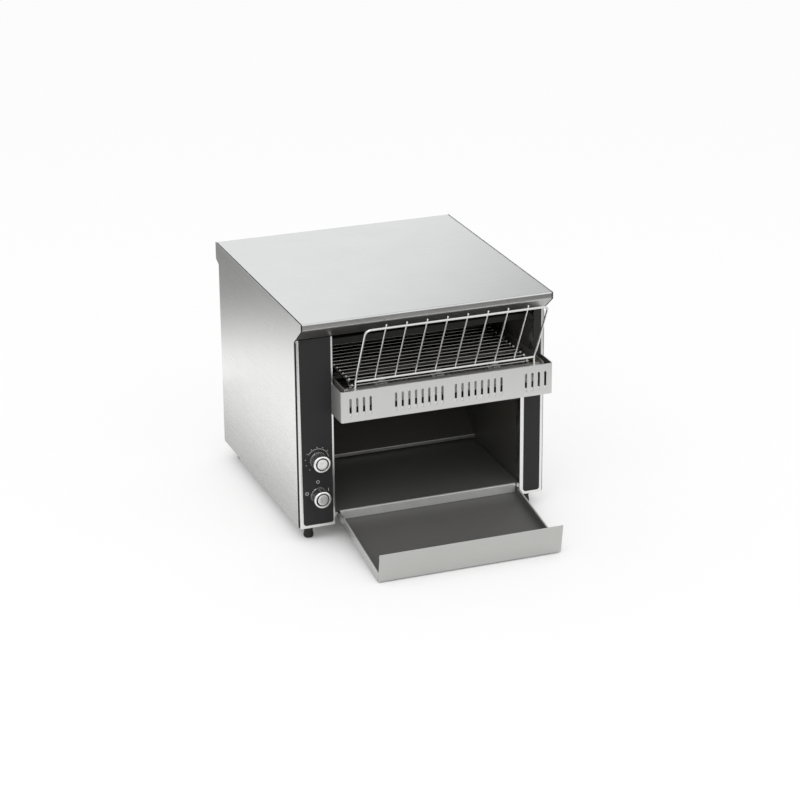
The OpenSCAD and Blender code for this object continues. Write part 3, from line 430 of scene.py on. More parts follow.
def cut(point, normal, take_off=False):
    """Cuts the whole open mesh along a plane; take_off removes the side ahead and closes the cut."""
    bpy.ops.mesh.select_all(action="SELECT")
    bpy.ops.mesh.bisect(plane_co=spot(*point), plane_no=normal, use_fill=take_off,
                        clear_outer=take_off, threshold=1e-6)


def apply_modifier(piece, kind, **settings):
    """Adds a modifier with its settings and applies it at once."""
    choose(piece)
    modifier = piece.modifiers.new(kind.lower(), kind)
    for setting, value in settings.items():
        setattr(modifier, setting, value)
    bpy.ops.object.modifier_apply(modifier=modifier.name)


def round_edges(piece, width, steps=2, angle=30.0):
    """Rounds the edges that are sharper than angle in degrees."""
    apply_modifier(piece, "BEVEL", width=width * MM, segments=steps, limit_method="ANGLE",
                   angle_limit=math.radians(angle), miter_outer="MITER_ARC")


def give_thickness(piece, thick):
    """Turns a surface into a sheet, half of it to each side."""
    apply_modifier(piece, "SOLIDIFY", thickness=thick * MM, offset=0.0, use_even_offset=True)


def outward(piece):
    """Merges doubles and turns every face outward."""
    work_on_all(piece)
    bpy.ops.mesh.remove_doubles(threshold=1e-6)
    bpy.ops.mesh.normals_make_consistent(inside=False)
    stop_work()


def smooth(piece):
    """Shades every bend below 35 degrees smooth."""
    choose(piece)
    bpy.ops.object.shade_smooth_by_angle(angle=math.radians(35.0))
    apply_modifier(piece, "WEIGHTED_NORMAL", keep_sharp=True)


def complete(piece, finish, body, stands_for=()):
    """Gives a finished piece its material, its body and the CAD nodes that it stands for."""
    smooth(piece)
    dress(piece, finish)
    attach(piece, body)
    if stands_for:
        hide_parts(*stands_for)


def folded(name, path, run, thick, bend, edge=0.2, steps=4):
    """Folded sheet metal: the middle line path, swept by run, with its bends rounded."""
    piece = draw_line(name, path)
    work_on_all(piece, "EDGE")
    pull_out(*run)
    stop_work()
    if bend:
        round_edges(piece, bend, steps, 12.0)
    give_thickness(piece, thick)
    outward(piece)
    if edge:
        round_edges(piece, edge, 2, 60.0)
    return piece


def swing(piece, centre, axis, steps, angle=2 * math.pi):
    """Spins a drawn line round an axis through centre."""
    work_on_all(piece, "VERT")
    bpy.ops.mesh.spin(steps=steps, angle=angle, center=spot(*centre), axis=axis)
    stop_work()
    outward(piece)


def spun(name, centre, profile, steps):
    """A turned piece round an axis along Y: profile is (radius, y) from the axis outward."""
    x, z = centre
    piece = draw_line(name, [(x + radius, y, z) for radius, y in profile])
    swing(piece, (x, 0, z), (0.0, 1.0, 0.0), steps)
    return piece


def spun_up(name, centre, profile, steps=48):
    """A turned piece round an upright axis: profile is (radius, z)."""
    x, y = centre
    piece = draw_line(name, [(x + radius, y, z) for radius, z in profile])
    swing(piece, (x, y, 0), (0.0, 0.0, 1.0), steps)
    return piece


def second_finish(piece, finish, test):
    """Gives the faces that pass a test another finish."""
    piece.data.materials.append(finish)
    work_on(piece)
    pick(piece, "FACE", test)
    piece.active_material_index = len(piece.material_slots) - 1
    bpy.ops.object.material_slot_assign()
    stop_work()


def pierce(piece, cutter):
    """Cuts the shape of another piece out and takes that piece away."""
    apply_modifier(piece, "BOOLEAN", operation="DIFFERENCE", solver="EXACT", object=cutter)
    bpy.data.objects.remove(cutter)


def joined(name, pieces):
    """One piece made of several."""
    clear_selection()
    for piece in pieces:
        piece.select_set(True)
    bpy.context.view_layer.objects.active = pieces[0]
    bpy.ops.object.join()
    pieces[0].name = pieces[0].data.name = name
    return pieces[0]


# ---------------------------------------------------------------- shell

# Millimetres, from the front plane and the bottom edge of the body, here and below
SHEET = 1.2
HALF_SHEET = SHEET / 2
HALF_WIDTH = 184.0
BODY_DEPTH, BODY_HEIGHT = 353.3, 309.4
HEAD_FRONT, HEAD_REAR = -25.7, 366.1
LIP_LOW, REAR_LIP_LOW, REAR_SLOPE_LOW = 299.8, 283.8, 278.7
SLOPE_FOOT = 279.5
FALL = (LIP_LOW - SLOPE_FOOT) / -HEAD_FRONT
SIDE_FRONT = 5.9
SEAM = 1.0
HEAD_SIDE = HALF_WIDTH - SHEET - SEAM
HEADER_FRONT, HEADER_BACK, REAR_FOLD_LOW = 1.8, 15.0, 264.0
FRAME_INSET = 1.7
# Dark blocks down the front corners, between frame and side panel, paint the shadow of the step there.
CORNER_SHADOW_FRONT, CORNER_SHADOW_BACK, CORNER_SHADOW_HIGH = 3.0, 6.3, 273.0


def slope_height(y):
    """Height of the slope under the front lip."""
    return SLOPE_FOOT - FALL * y


def head_cover():
    """One sheet folded over the head: header, slope, lip, top, rear lip and rear slope."""
    half = HALF_SHEET
    lift = half * math.hypot(1.0, FALL)
    rear_fall = (REAR_LIP_LOW - REAR_SLOPE_LOW) / (HEAD_REAR - BODY_DEPTH)
    rear_lift = half * math.hypot(1.0, rear_fall) - half * rear_fall
    foot = slope_height(HEADER_FRONT) + lift
    path = [(-HEAD_SIDE, HEADER_BACK, foot - 1.5),
            (-HEAD_SIDE, HEADER_FRONT, foot),
            (-HEAD_SIDE, HEAD_FRONT + half, slope_height(HEAD_FRONT + half) + lift),
            (-HEAD_SIDE, HEAD_FRONT + half, BODY_HEIGHT - half),
            (-HEAD_SIDE, HEAD_REAR - half, BODY_HEIGHT - half),
            (-HEAD_SIDE, HEAD_REAR - half, REAR_LIP_LOW + rear_lift),
            (-HEAD_SIDE, BODY_DEPTH - half, REAR_SLOPE_LOW + rear_lift),
            (-HEAD_SIDE, BODY_DEPTH - half, REAR_FOLD_LOW)]
    piece = folded("head_cover", path, (2 * HEAD_SIDE, 0, 0), SHEET, 1.7, 0.25)
    complete(piece, top_metal, "chassis", ["top_cover"])

    def on_bend(x, y, z, normal):
        return z < LIP_LOW + 1.5 and y < HEAD_FRONT + 2

    def on_lip(x, y, z, normal):
        return normal.y < -0.9 and LIP_LOW - 1 < z < BODY_HEIGHT - 0.6 and y < HEAD_FRONT + 0.6

    # The lip, its lower bend, and the slope with the header get darker tones of the same sheet: painted
    # shade, with the bend lighter as a painted highlight.
    second_finish(piece, bend_shade_and_highlight_metal, on_bend)
    second_finish(piece, lip_shaded_metal, on_lip)
    second_finish(piece, slope_shaded_metal, lambda x, y, z, normal: normal.z < -0.2 and y < HEADER_BACK)


def side_skin(name, inner, outer, node):
    """Flat side panel whose outline takes in the overhang of the head."""
    piece = block(name, (min(inner, outer), SIDE_FRONT, 0),
                  (max(inner, outer), BODY_DEPTH, BODY_HEIGHT))
    levels = [slope_height(SIDE_FRONT), REAR_SLOPE_LOW, REAR_LIP_LOW, LIP_LOW]
    middle = BODY_DEPTH / 2
    work_on(piece)
    for level in levels:
        cut((0, 0, level), (0.0, 0.0, 1.0))
    for level in levels[1:3]:
        pick(piece, "VERT", lambda x, y, z: abs(z - level) < 0.01 and y < middle)
        push(0, (SLOPE_FOOT - level) / FALL - SIDE_FRONT, 0)
    pick(piece, "VERT", lambda x, y, z: z > LIP_LOW - 0.01 and y < middle)
    push(0, HEAD_FRONT - SIDE_FRONT, 0)
    pick(piece, "VERT", lambda x, y, z: z > REAR_LIP_LOW - 0.01 and y > middle)
    push(0, HEAD_REAR - BODY_DEPTH, 0)
    bpy.ops.mesh.select_all(action="SELECT")
    bpy.ops.mesh.dissolve_limited(angle_limit=math.radians(0.5))
    bpy.ops.mesh.normals_make_consistent(inside=False)
    stop_work()
    round_edges(piece, 0.35, 3, 20.0)
    complete(piece, shell_metal, "chassis", [node])
    # The panel's rim along the head is painted near black as the shadow of the gap beside the head
    # cover.
    second_finish(piece, rim_shadow_metal, lambda x, y, z, normal: abs(normal.x) < 0.5 and z > SLOPE_FOOT - 6)


def seam_shadow_beads():
    """Dark strips in the joints beside the head cover and down the front edges: painted shadow of the
    gaps.
    """
    depth, thick = 1.1, 0.5
    lift = depth * math.hypot(1.0, FALL)
    beads = []
    for side in (-1, 1):
        inner, outer = side * HEAD_SIDE, side * (HALF_WIDTH - SHEET)
        path = [(inner, HEADER_FRONT, slope_height(HEADER_FRONT) + lift),
                (inner, HEAD_FRONT + depth, slope_height(HEAD_FRONT + depth) + lift),
                (inner, HEAD_FRONT + depth, BODY_HEIGHT - depth),
                (inner, HEAD_REAR - depth, BODY_HEIGHT - depth),
                (inner, HEAD_REAR - depth, REAR_LIP_LOW + 1.0)]
        beads.append(folded("bead", path, (outer - inner, 0, 0), thick, 0.6, 0, 2))
        # A dark block down the front corner paints the shadow of the step between frame and side panel.
        corner_shadow = block("bead", (side * (HALF_WIDTH - FRAME_INSET), CORNER_SHADOW_FRONT, 1.0),
                       (side * (HALF_WIDTH - 0.45), CORNER_SHADOW_BACK, CORNER_SHADOW_HIGH))
        round_edges(corner_shadow, 0.2, 2)
        beads.append(corner_shadow)
    complete(joined("seam_shadow_beads", beads), seam_shadow_finish, "chassis")


head_cover()
side_skin("left_skin", -HALF_WIDTH + SHEET, -HALF_WIDTH, "left_side_panel")
side_skin("right_skin", HALF_WIDTH - SHEET, HALF_WIDTH, "right_side_panel")
seam_shadow_beads()

# ---------------------------------------------------------------- controls

OVERLAY_FACE = -0.8
MARK_THICK, MARK_RADIUS = 0.12, 18.1
KNOB_RADIUS, KNOB_DEPTH, KNOB_SIDES, KNOB_GAP = 12.0, 18.6, 128, 0.4
FLUTE_BACK, FLUTE_FRONT, FLUTE_DEPTH = -4.4, -18.2, 0.7
SIDES_PER_FLUTE, FLUTE_SIDES = 4, 2
GROOVE_INSET, GROOVE_DEPTH = 2.6, 1.6
# Radius and distance from the front plane
RING_PROFILE = [(9.2, -18.6), (9.2, -21.0), (9.5, -21.5), (10.1, -21.75), (11.2, -21.6), (11.9, -21.0),
                (12.2, -20.2), (12.2, -19.4), (12.0, -19.0), (11.8, -18.6), (9.2, -18.6)]
CAP_PROFILE = [(0.0, -21.6), (3.0, -21.65), (6.6, -21.8), (7.2, -21.5), (7.5, -21.0), (7.5, -17.6),
               (0.0, -17.6)]


def knurled_knob(name, z, body, node, cap_node):
    """Knob with thirty-two flutes, a bright ring, a groove and a turned cap."""
    skirt = drum(name, (KNOB_X, OVERLAY_FACE - KNOB_GAP - KNOB_DEPTH / 2, z), KNOB_RADIUS, KNOB_DEPTH,
                 KNOB_SIDES)
    work_on(skirt)
    for y in (FLUTE_BACK, FLUTE_FRONT):
        cut((0, y, 0), (0.0, 1.0, 0.0))
    step = 2 * math.pi / KNOB_SIDES

    def from_axis(x, height):
        return math.hypot(x - KNOB_X, height - z)

    def in_flute(x, y, height, normal):
        side = int(math.floor(math.atan2(height - z, x - KNOB_X) / step + 0.01))
        between = FLUTE_FRONT < y < FLUTE_BACK and abs(normal.y) < 0.5
        return between and side % SIDES_PER_FLUTE < FLUTE_SIDES

    pick(skirt, "FACE", in_flute)
    bpy.ops.mesh.extrude_region_shrink_fatten(TRANSFORM_OT_shrink_fatten={"value": -FLUTE_DEPTH * MM})
    pick(skirt, "FACE", lambda x, y, height, normal: normal.y < -0.9 and y < -18)
    bpy.ops.mesh.inset(thickness=GROOVE_INSET * MM)
    pull_out(0, GROOVE_DEPTH, 0)
    stop_work()
    outward(skirt)
    round_edges(skirt, 0.12, 1, 40.0)
    complete(skirt, knurl_metal, body, [node])

    def in_groove(x, y, height, normal):
        return normal.y < -0.5 and -19 < y < -16.5 and from_axis(x, height) < 9.3

    def flute_floor(x, y, height, normal):
        return -18 < y < -4.5 and abs(normal.y) < 0.5 and 10 < from_axis(x, height) < 11.6

    second_finish(skirt, plastic_finish, in_groove)
    second_finish(skirt, groove_metal, flute_floor)
    ring = spun(name + "_ring", (KNOB_X, z), RING_PROFILE, 72)
    complete(ring, ring_metal[name], body)
    cap = spun(name + "_cap", (KNOB_X, z), CAP_PROFILE, 64)
    complete(cap, cap_metal[name], body, [cap_node])


def dot(angle):
    """A printed dot of the speed dial, at an angle in degrees."""
    x = KNOB_X + MARK_RADIUS * math.cos(math.radians(angle))
    z = SPEED_Z + MARK_RADIUS * math.sin(math.radians(angle))
    piece = drum("mark", (x, OVERLAY_FACE - MARK_THICK / 2 + 0.02, z), 0.6, MARK_THICK, 20)
    round_edges(piece, 0.04, 1)
    return piece


def hoop(centre, radius, wide, start, end, steps):
    """A printed arc or ring on the overlay; start and end in degrees."""
    x, z = centre
    first = math.radians(start)
    flank = [(x + r * math.cos(first), OVERLAY_FACE - 0.06, z + r * math.sin(first))
             for r in (radius - wide / 2, radius + wide / 2)]
    piece = draw_line("mark", flank)
    swing(piece, (x, 0, z), (0.0, 1.0, 0.0), steps, math.radians(end - start))
    give_thickness(piece, 0.1)
    outward(piece)
    return piece


def dial_marks():
    """Printed dots, an arc, two rings and a tick round the knobs."""
    marks = [dot(angle) for angle in (38, 65, 92, 120, 147, 175, 202, 230)]
    marks.append(hoop((KNOB_X, SPEED_Z), 15.8, 0.55, 8, 148, 36))
    for x, z in ((-155.8, 68.0), (-172.0, 52.4)):
        marks.append(hoop((x, z), 2.1, 0.7, 0, 360, 28))
    tick = block("mark", (-141.0, OVERLAY_FACE - MARK_THICK, 52.2), (-140.3, OVERLAY_FACE, 56.8))
    round_edges(tick, 0.05, 1)
    marks.append(tick)
    complete(joined("dial_marks", marks), print_finish, "chassis")


knurled_knob("speed_knob_skirt", SPEED_Z, "speed_knob", "speed_knob", "speed_knob_cap")
knurled_knob("heat_knob_skirt", HEAT_Z, "heat_knob", "heat_knob", "heat_knob_cap")
dial_marks()

# ---------------------------------------------------------------- front

OPEN_LEFT, OPEN_RIGHT, OPEN_RIGHT_UP, STEP_Z = -131.2, 147.3, 166.0, 168.0
FRAME_SIDE = HALF_WIDTH - FRAME_INSET
FLANGE_LOW, FLANGE_HIGH = 26, 261
FILM_SIDE, FILM_LOW, FILM_THICK, FILM_SLANT = 177.4, 4.3, 0.8, 2.0


def shaft_holes(piece):
    """Opens a front sheet for the two control shafts."""
    for z in (SPEED_Z, HEAT_Z):
        pierce(piece, drum("shaft_cutter", (KNOB_X, 0.2, z), 4.6, 8.0, 40))


def widen(piece):
    """Cuts out the part of the opening that is wider above the landing."""
    pierce(piece, block("step_cutter", (120, -6, STEP_Z), (OPEN_RIGHT_UP, 30, 320)))


def front_frame(name, side, edge, flanges, node, cutters):
    """Front sheet wrapped round its corner, with flanges along the opening."""
    top = slope_height(HALF_SHEET) - 0.9
    corner = side * (FRAME_SIDE - HALF_SHEET)
    path = [(corner, 16, 0), (corner, HALF_SHEET, 0), (edge, HALF_SHEET, 0)]
    piece = folded(name, path, (0, 0, top), SHEET, 1.7, 0)
    for cutter in cutters:
        cutter(piece)
    round_edges(piece, 0.25, 2, 50.0)
    pieces = [piece]
    for x, low, high in flanges:
        flange = block("flange", (x, 0.5, low), (x + SHEET, 14, high))
        round_edges(flange, 0.3, 2)
        pieces.append(flange)
    complete(joined(name, pieces), front_metal, "chassis", [node])


def front_film(name, left, right, node, cutters):
    """Black film on a front sheet with rounded lower corners; the control film's edge leans out."""
    piece = block(name, (left, -FILM_THICK, FILM_LOW), (right, 0, slope_height(0) - 1.2))
    work_on(piece, "EDGE")
    if left < -FILM_SIDE + 0.01:
        pick(piece, "VERT", lambda x, y, z: z > 200 and x < left + 0.01)
        push(-FILM_SLANT, 0, 0)
    pick(piece, "EDGE", lambda x, y, z: abs(z - FILM_LOW) < 0.01 and abs(y + FILM_THICK / 2) < 0.01)
    bpy.ops.mesh.bevel(offset=4 * MM, segments=8, affect="EDGES")
    stop_work()
    for cutter in cutters:
        cutter(piece)
    round_edges(piece, 0.18, 2, 50.0)
    complete(piece, overlay_finish, "chassis", [node])


front_frame("control_side_frame", -1, OPEN_LEFT, [(OPEN_LEFT - SHEET, FLANGE_LOW, FLANGE_HIGH)],
            "control_frame", [shaft_holes])
front_frame("right_side_frame", 1, OPEN_RIGHT,
            [(OPEN_RIGHT, FLANGE_LOW, 160), (OPEN_RIGHT_UP, STEP_Z, FLANGE_HIGH)],
            "right_front_frame", [widen])
front_film("control_film", -FILM_SIDE, OPEN_LEFT - 2.7, "control_overlay", [shaft_holes])
front_film("right_film", OPEN_RIGHT + 5.5, FILM_SIDE, "right_overlay", [widen])

GUARD_LEFT, GUARD_RIGHT, GUARD_LOW, GUARD_HIGH, GUARD_OUT = -133.5, 178.9, 165.4, 210.4, 39.4
GUARD_MIDDLE = (GUARD_LEFT + GUARD_RIGHT) / 2
LEDGE_LEFT, LEDGE_RUN, LEDGE_BACK_LOW, LEDGE_DEPTH = -119, 281, 182.3, 13
SLOT_WIDTH, SLOT_LENGTH, SLOT_LOW, SLOT_PITCH = 3.2, 26.8, 172.9, 9.7
RACK_X, RACK_Y, RACK_HALF = 22.4, -30.0, 132.0


def slot_cutter():
    """Twenty-four upright slots with round ends, in groups of four, eight, eight and four."""
    middle = GUARD_MIDDLE + 1.1
    places = [middle + side * (9.9 + SLOT_PITCH * i) for side in (-1, 1) for i in range(8)]
    places += [middle + side * (114.6 + SLOT_PITCH * i) for side in (-1, 1) for i in range(4)]
    low = SLOT_LOW + SLOT_WIDTH / 2
    cutter = drum("slot_cutter", (places[0], HALF_SHEET - GUARD_OUT, low), SLOT_WIDTH / 2, 5.0, 26)
    work_on(cutter)
    cut((0, 0, low), (0.0, 0.0, 1.0))
    pick(cutter, "VERT", lambda x, y, z: z > low + 0.01)
    push(0, 0, SLOT_LENGTH - SLOT_WIDTH)
    bpy.ops.mesh.select_all(action="SELECT")
    bpy.ops.mesh.normals_make_consistent(inside=False)
    for here, there in zip(places, places[1:]):
        bpy.ops.mesh.duplicate()
        push(there - here, 0, 0)
    stop_work()
    return cutter


def slotted_channel():
    """Folded guard in front of the belt, with its slots."""
    left, right, front = GUARD_LEFT + HALF_SHEET, GUARD_RIGHT - HALF_SHEET, HALF_SHEET - GUARD_OUT
    path = [(left, 0, GUARD_LOW), (left, front, GUARD_LOW), (right, front, GUARD_LOW),
            (right, 0, GUARD_LOW)]
    piece = folded("guard_channel", path, (0, 0, GUARD_HIGH - GUARD_LOW), SHEET, 3.2, 0, 6)
    pierce(piece, slot_cutter())
    round_edges(piece, 0.22, 2, 60.0)
    complete(piece, guard_metal, "chassis", ["slotted_guard"])

    def on_wing(x, y, z, normal):
        return normal.x * (x - GUARD_MIDDLE) > 0 and abs(normal.x) > 0.85

    # The wings of the same sheet take the darker copy: painted shade and painted reflection.
    second_finish(piece, wing_shaded_metal, on_wing)


def guard_strips():
    """Ledge that carries the bread rack, and the strip along the guard's bottom edge."""
    back, high = LEDGE_DEPTH - GUARD_OUT - HALF_SHEET, GUARD_HIGH - HALF_SHEET
    path = [(LEDGE_LEFT, SHEET - GUARD_OUT, high), (LEDGE_LEFT, back, high),
            (LEDGE_LEFT, back, LEDGE_BACK_LOW)]
    ledge = folded("guard_ledge", path, (LEDGE_RUN, 0, 0), SHEET, 0.9, 0)
    for side in (-1, 1):
        leg = (RACK_X + side * RACK_HALF, RACK_Y, high)
        pierce(ledge, drum("leg_cutter", leg, 1.9, 6.0, 32, 0.0))
    round_edges(ledge, 0.3, 2, 60.0)
    complete(ledge, ledge_metal, "chassis", ["guard_flanges"])
    second_finish(ledge, inner_strip_metal, lambda x, y, z, normal: z < GUARD_HIGH - 3)
    left, low, face = GUARD_LEFT + 3, GUARD_LOW + HALF_SHEET, 1.5 * SHEET - GUARD_OUT + 0.1
    path = [(left, face, 177.9), (left, face, low), (left, 18 - GUARD_OUT, low)]
    strip = folded("guard_strip", path, (GUARD_RIGHT - GUARD_LEFT - 6, 0, 0), SHEET, 0.9, 0.3)
    complete(strip, inner_strip_metal, "chassis")


slotted_channel()
guard_strips()

# ---------------------------------------------------------------- landing and trays

TUNNEL_LEFT, TUNNEL_RIGHT, TUNNEL_HIGH = -132.8, 147.0, 17.6
LANDING_Z, LANDING_RISE, LANDING_LIP = 18.3, 3.1 / 168.0, 13.0
TRAY_LEFT, TRAY_RIGHT, TRAY_Y, TRAY_Z = -126.6, 141.0, -159.7, -20.3
TRAY_TILT, TRAY_LENGTH, TRAY_WALL, PLATE_HEIGHT = math.radians(9.6), 190.4, 12.5, 43.0
TRAY_SHEET, TRAY_HEM, WALL_START, TRAY_TOP = 1.1, 2.1, 0.3, TUNNEL_HIGH - 1.4
CHUTE_LEFT, CHUTE_RIGHT, CHUTE_FOOT = -132.4, 148.5, (172.0, 28.5)
CHUTE_BACK, CHUTE_TOP = 326.0, 264.8
FOOT_X, FOOT_FRONT, FOOT_REAR = 164, 21.5, BODY_DEPTH - 23


def landing_floor():
    """Coated floor under the chute and the satin lip folded down at its front."""
    left, right = TUNNEL_LEFT + 0.6, TUNNEL_RIGHT + 0.2
    length = 188
    end_z = LANDING_Z + length * LANDING_RISE
    path = [(left, 1.8, LANDING_Z), (left, length, end_z), (left, length + 4, end_z + 2.4)]
    floor = folded("landing_floor", path, (right - left, 0, 0), SHEET, 1.5, 0.3)
    legs = []
    for x in (left, right - SHEET):
        leg = block("landing_leg", (x, 4, TUNNEL_HIGH), (x + SHEET, 168, LANDING_Z))
        round_edges(leg, 0.25, 2)
        legs.append(leg)
    complete(joined("landing_floor", [floor] + legs), coated_metal, "chassis",
             ["landing_tray"])
    x, front, top = TRAY_LEFT + 2, HALF_SHEET - 4, LANDING_Z + 2.2
    path = [(x, front, top - LANDING_LIP), (x, front, top - HALF_SHEET), (x, -0.4, top - HALF_SHEET),
            (x, -0.4, LANDING_Z), (x, 1.8, LANDING_Z)]
    lip = folded("landing_lip", path, (TRAY_RIGHT - TRAY_LEFT - 4, 0, 0), SHEET, 0.7, 0.3)
    complete(lip, lip_satin, "chassis")


def on_tray(x, along, high):
    """A point measured along the tilted tray from its lower front corner."""
    return (x, TRAY_Y + along * math.cos(TRAY_TILT) - high * math.sin(TRAY_TILT),
            TRAY_Z + along * math.sin(TRAY_TILT) + high * math.cos(TRAY_TILT))


def from_tray(y, z):
    """How far a point lies along and above the tilted tray."""
    along = (y - TRAY_Y) * math.cos(TRAY_TILT) + (z - TRAY_Z) * math.sin(TRAY_TILT)
    high = (z - TRAY_Z) * math.cos(TRAY_TILT) - (y - TRAY_Y) * math.sin(TRAY_TILT)
    return along, high


def toast_pan():
    """Pull-out tray: hemmed front plate, floor, hemmed side walls and the ears of its runners."""
    wide, middle = TRAY_RIGHT - TRAY_LEFT, (TRAY_LEFT + TRAY_RIGHT) / 2
    half = TRAY_SHEET / 2
    path = [on_tray(TRAY_LEFT, 1.75, PLATE_HEIGHT - 6), on_tray(TRAY_LEFT, 1.75, PLATE_HEIGHT - half),
            on_tray(TRAY_LEFT, half, PLATE_HEIGHT - half), on_tray(TRAY_LEFT, half, half),
            on_tray(TRAY_LEFT, TRAY_LENGTH, half)]
    pieces = [folded("pan", path, (wide, 0, 0), TRAY_SHEET, 0.6, 0.25)]
    run = Vector(on_tray(0, TRAY_LENGTH, 0)) - Vector(on_tray(0, WALL_START, 0))
    for edge, out in ((TRAY_LEFT, -1), (TRAY_RIGHT, 1)):
        hem, wall_x = edge - out * TRAY_HEM, edge - out * half
        path = [on_tray(hem, WALL_START, TRAY_WALL - 4.5), on_tray(hem, WALL_START, TRAY_WALL - half),
                on_tray(wall_x, WALL_START, TRAY_WALL - half), on_tray(wall_x, WALL_START, half)]
        wall = folded("wall", path, tuple(run), TRAY_SHEET, 0.7, 0.2)
        work_on(wall)
        cut((0, 0, TRAY_TOP), (0.0, 0.0, 1.0), take_off=True)
        stop_work()
        pieces.append(wall)
        near, far = sorted((edge - out * 0.2, edge + out * 5.2))
        ear = block("ear", (near, 3, TUNNEL_HIGH - 4.2), (far, 27, TRAY_TOP))
        round_edges(ear, 0.5, 2)
        pieces.append(ear)
    piece = joined("toast_pan", pieces)
    complete(piece, tray_metal, "toast_tray", ["toast_tray"])
    up = Vector((0.0, -math.sin(TRAY_TILT), math.cos(TRAY_TILT)))

    def inside(x, y, z, normal):
        along, high = from_tray(y, z)
        aside = abs(x - middle)
        on_floor = normal.dot(up) > 0.7 and high < 3
        on_plate = normal.y > 0.7 and along < 3 and high < PLATE_HEIGHT - 6
        on_wall = wide / 2 - 3.0 < aside < wide / 2 - 0.2 and high < TRAY_WALL
        inwards = normal.x * (x - middle) < -0.45 * aside
        return on_floor or on_plate or on_wall and inwards

    def wall_top(x, y, z, normal):
        high = from_tray(y, z)[1]
        on_side = abs(x - middle) > wide / 2 - 3.0 and high < TRAY_WALL + 1
        return on_side and normal.dot(up) > 0.3 and high > TRAY_WALL - 1.2

    # The inside faces get the dark finish: painted shade and painted reflection on the same steel.
    second_finish(piece, pan_shaded_metal, inside)
    second_finish(piece, lip_satin, wall_top)


def chute_sheet():
    """Curved slide with a narrow flange along its lower edge."""
    y, z = CHUTE_FOOT
    slope, radius, steps = math.radians(35.0), 60.0, 12
    turn = math.pi / 2 - slope
    reach = radius * math.tan(turn / 2)
    corner_z = z + (CHUTE_BACK - y) * math.tan(slope)
    centre_y, centre_z = CHUTE_BACK - radius, corner_z + reach
    bend = [(centre_y + radius * math.cos(a), centre_z + radius * math.sin(a))
            for a in [-turn + turn * i / steps for i in range(steps + 1)]]
    line = [(y - 0.6, z - 4.2), (y - 0.6, z + 0.6)] + bend + [(CHUTE_BACK, CHUTE_TOP)]
    path = [(CHUTE_LEFT, *point) for point in line]
    piece = folded("chute_sheet", path, (CHUTE_RIGHT - CHUTE_LEFT, 0, 0), SHEET, 0, 0.25)
    side = block("side", (CHUTE_RIGHT - 0.4, CHUTE_BACK - 0.6, 169),
                 (167.2, CHUTE_BACK + 0.6, CHUTE_TOP))
    round_edges(side, 0.25, 2)
    piece = joined("chute_sheet", [piece, side])
    complete(piece, chute_coating, "chassis", ["toast_chute"])
    foot_y, foot_z = y + 0.4, z + 1.8
    second_finish(piece, rail_metal, lambda x, y, z, normal: y < foot_y and z < foot_z)
    bead = block("chute_edge", (CHUTE_LEFT + 1, y - 2.2, z - 0.2),
                 (CHUTE_RIGHT - 1, y - 1.1, z + 1.3))
    round_edges(bead, 0.5, 3)
    complete(bead, lip_satin, "chassis")


def rubber_feet():
    """Four turned rubber feet with a waist and a hollow underside."""
    profile = [(0, 0), (6.6, 0), (6.6, -9.0), (6.2, -10.2), (6.2, -13.5), (6.9, -15.5), (7.1, -18.5),
               (6.7, -20.8), (5.7, -22.0), (3.2, -22.0), (2.6, -20.6), (0, -20.6)]
    places = [(x, y) for x in (-FOOT_X, FOOT_X) for y in (FOOT_FRONT, FOOT_REAR)]
    feet = [spun_up("foot", place, profile) for place in places]
    complete(joined("rubber_feet", feet), rubber_finish, "chassis", ["feet"])


landing_floor()
toast_pan()
chute_sheet()
rubber_feet()

# ---------------------------------------------------------------- studio


def combine(tree, kind, first, second):
    """A node on two numbers that gives the larger of them or their product."""
    node = tree.nodes.new("ShaderNodeMath")
    node.operation = kind
    tree.links.new(first, node.inputs[0])
    if isinstance(second, float):
        node.inputs[1].default_value = second
    else:
        tree.links.new(second, node.inputs[1])
    return node.outputs[0]


def straight_rays(tree):
    """One for rays from the camera, from a reflection or through a clear piece, else nought."""
    rays = tree.nodes.new("ShaderNodeLightPath")
    seen = combine(tree, "MAXIMUM", rays.outputs["Is Camera Ray"], rays.outputs["Is Glossy Ray"])
    return combine(tree, "MAXIMUM", seen, rays.outputs["Is Transmission Ray"])


def mix_shaders(tree, fac, first, second, output):
    """Two shaders mixed by fac into the output node."""
    mix = tree.nodes.new("ShaderNodeMixShader")
    tree.links.new(fac, mix.inputs["Fac"])
    tree.links.new(first, mix.inputs[1])
    tree.links.new(second, mix.inputs[2])
    tree.links.new(mix.outputs["Shader"], tree.nodes[output].inputs["Surface"])


FLOOR_GLOW, SHADE_REACH = 0.62, 0.12


def lay_floor():
    """White floor that is partly its own light, less so where the part stands close to it."""
    clear_selection()
    bpy.ops.mesh.primitive_plane_add(size=60.0, location=(0.0, 0.0, 0.0))
    floor = bpy.context.object
    floor.name = "studio_floor"
    finish, tree, main = shader("pale_floor")
    main.inputs["Base Color"].default_value = (0.97, 0.97, 0.97, 1.0)
    main.inputs["Roughness"].default_value = 0.9
    main.inputs["Specular IOR Level"].default_value = 0.0
    glow = tree.nodes.new("ShaderNodeEmission")
    glow.inputs["Strength"].default_value = 1.0
    share = combine(tree, "MULTIPLY", straight_rays(tree), FLOOR_GLOW)
    close = tree.nodes.new("ShaderNodeAmbientOcclusion")
    close.samples = 16
    close.inputs["Distance"].default_value = SHADE_REACH
    open_share = combine(tree, "MULTIPLY", share, close.outputs["AO"])
    mix_shaders(tree, open_share, main.outputs["BSDF"], glow.outputs["Emission"], "Material Output")
    floor.data.materials.append(finish)


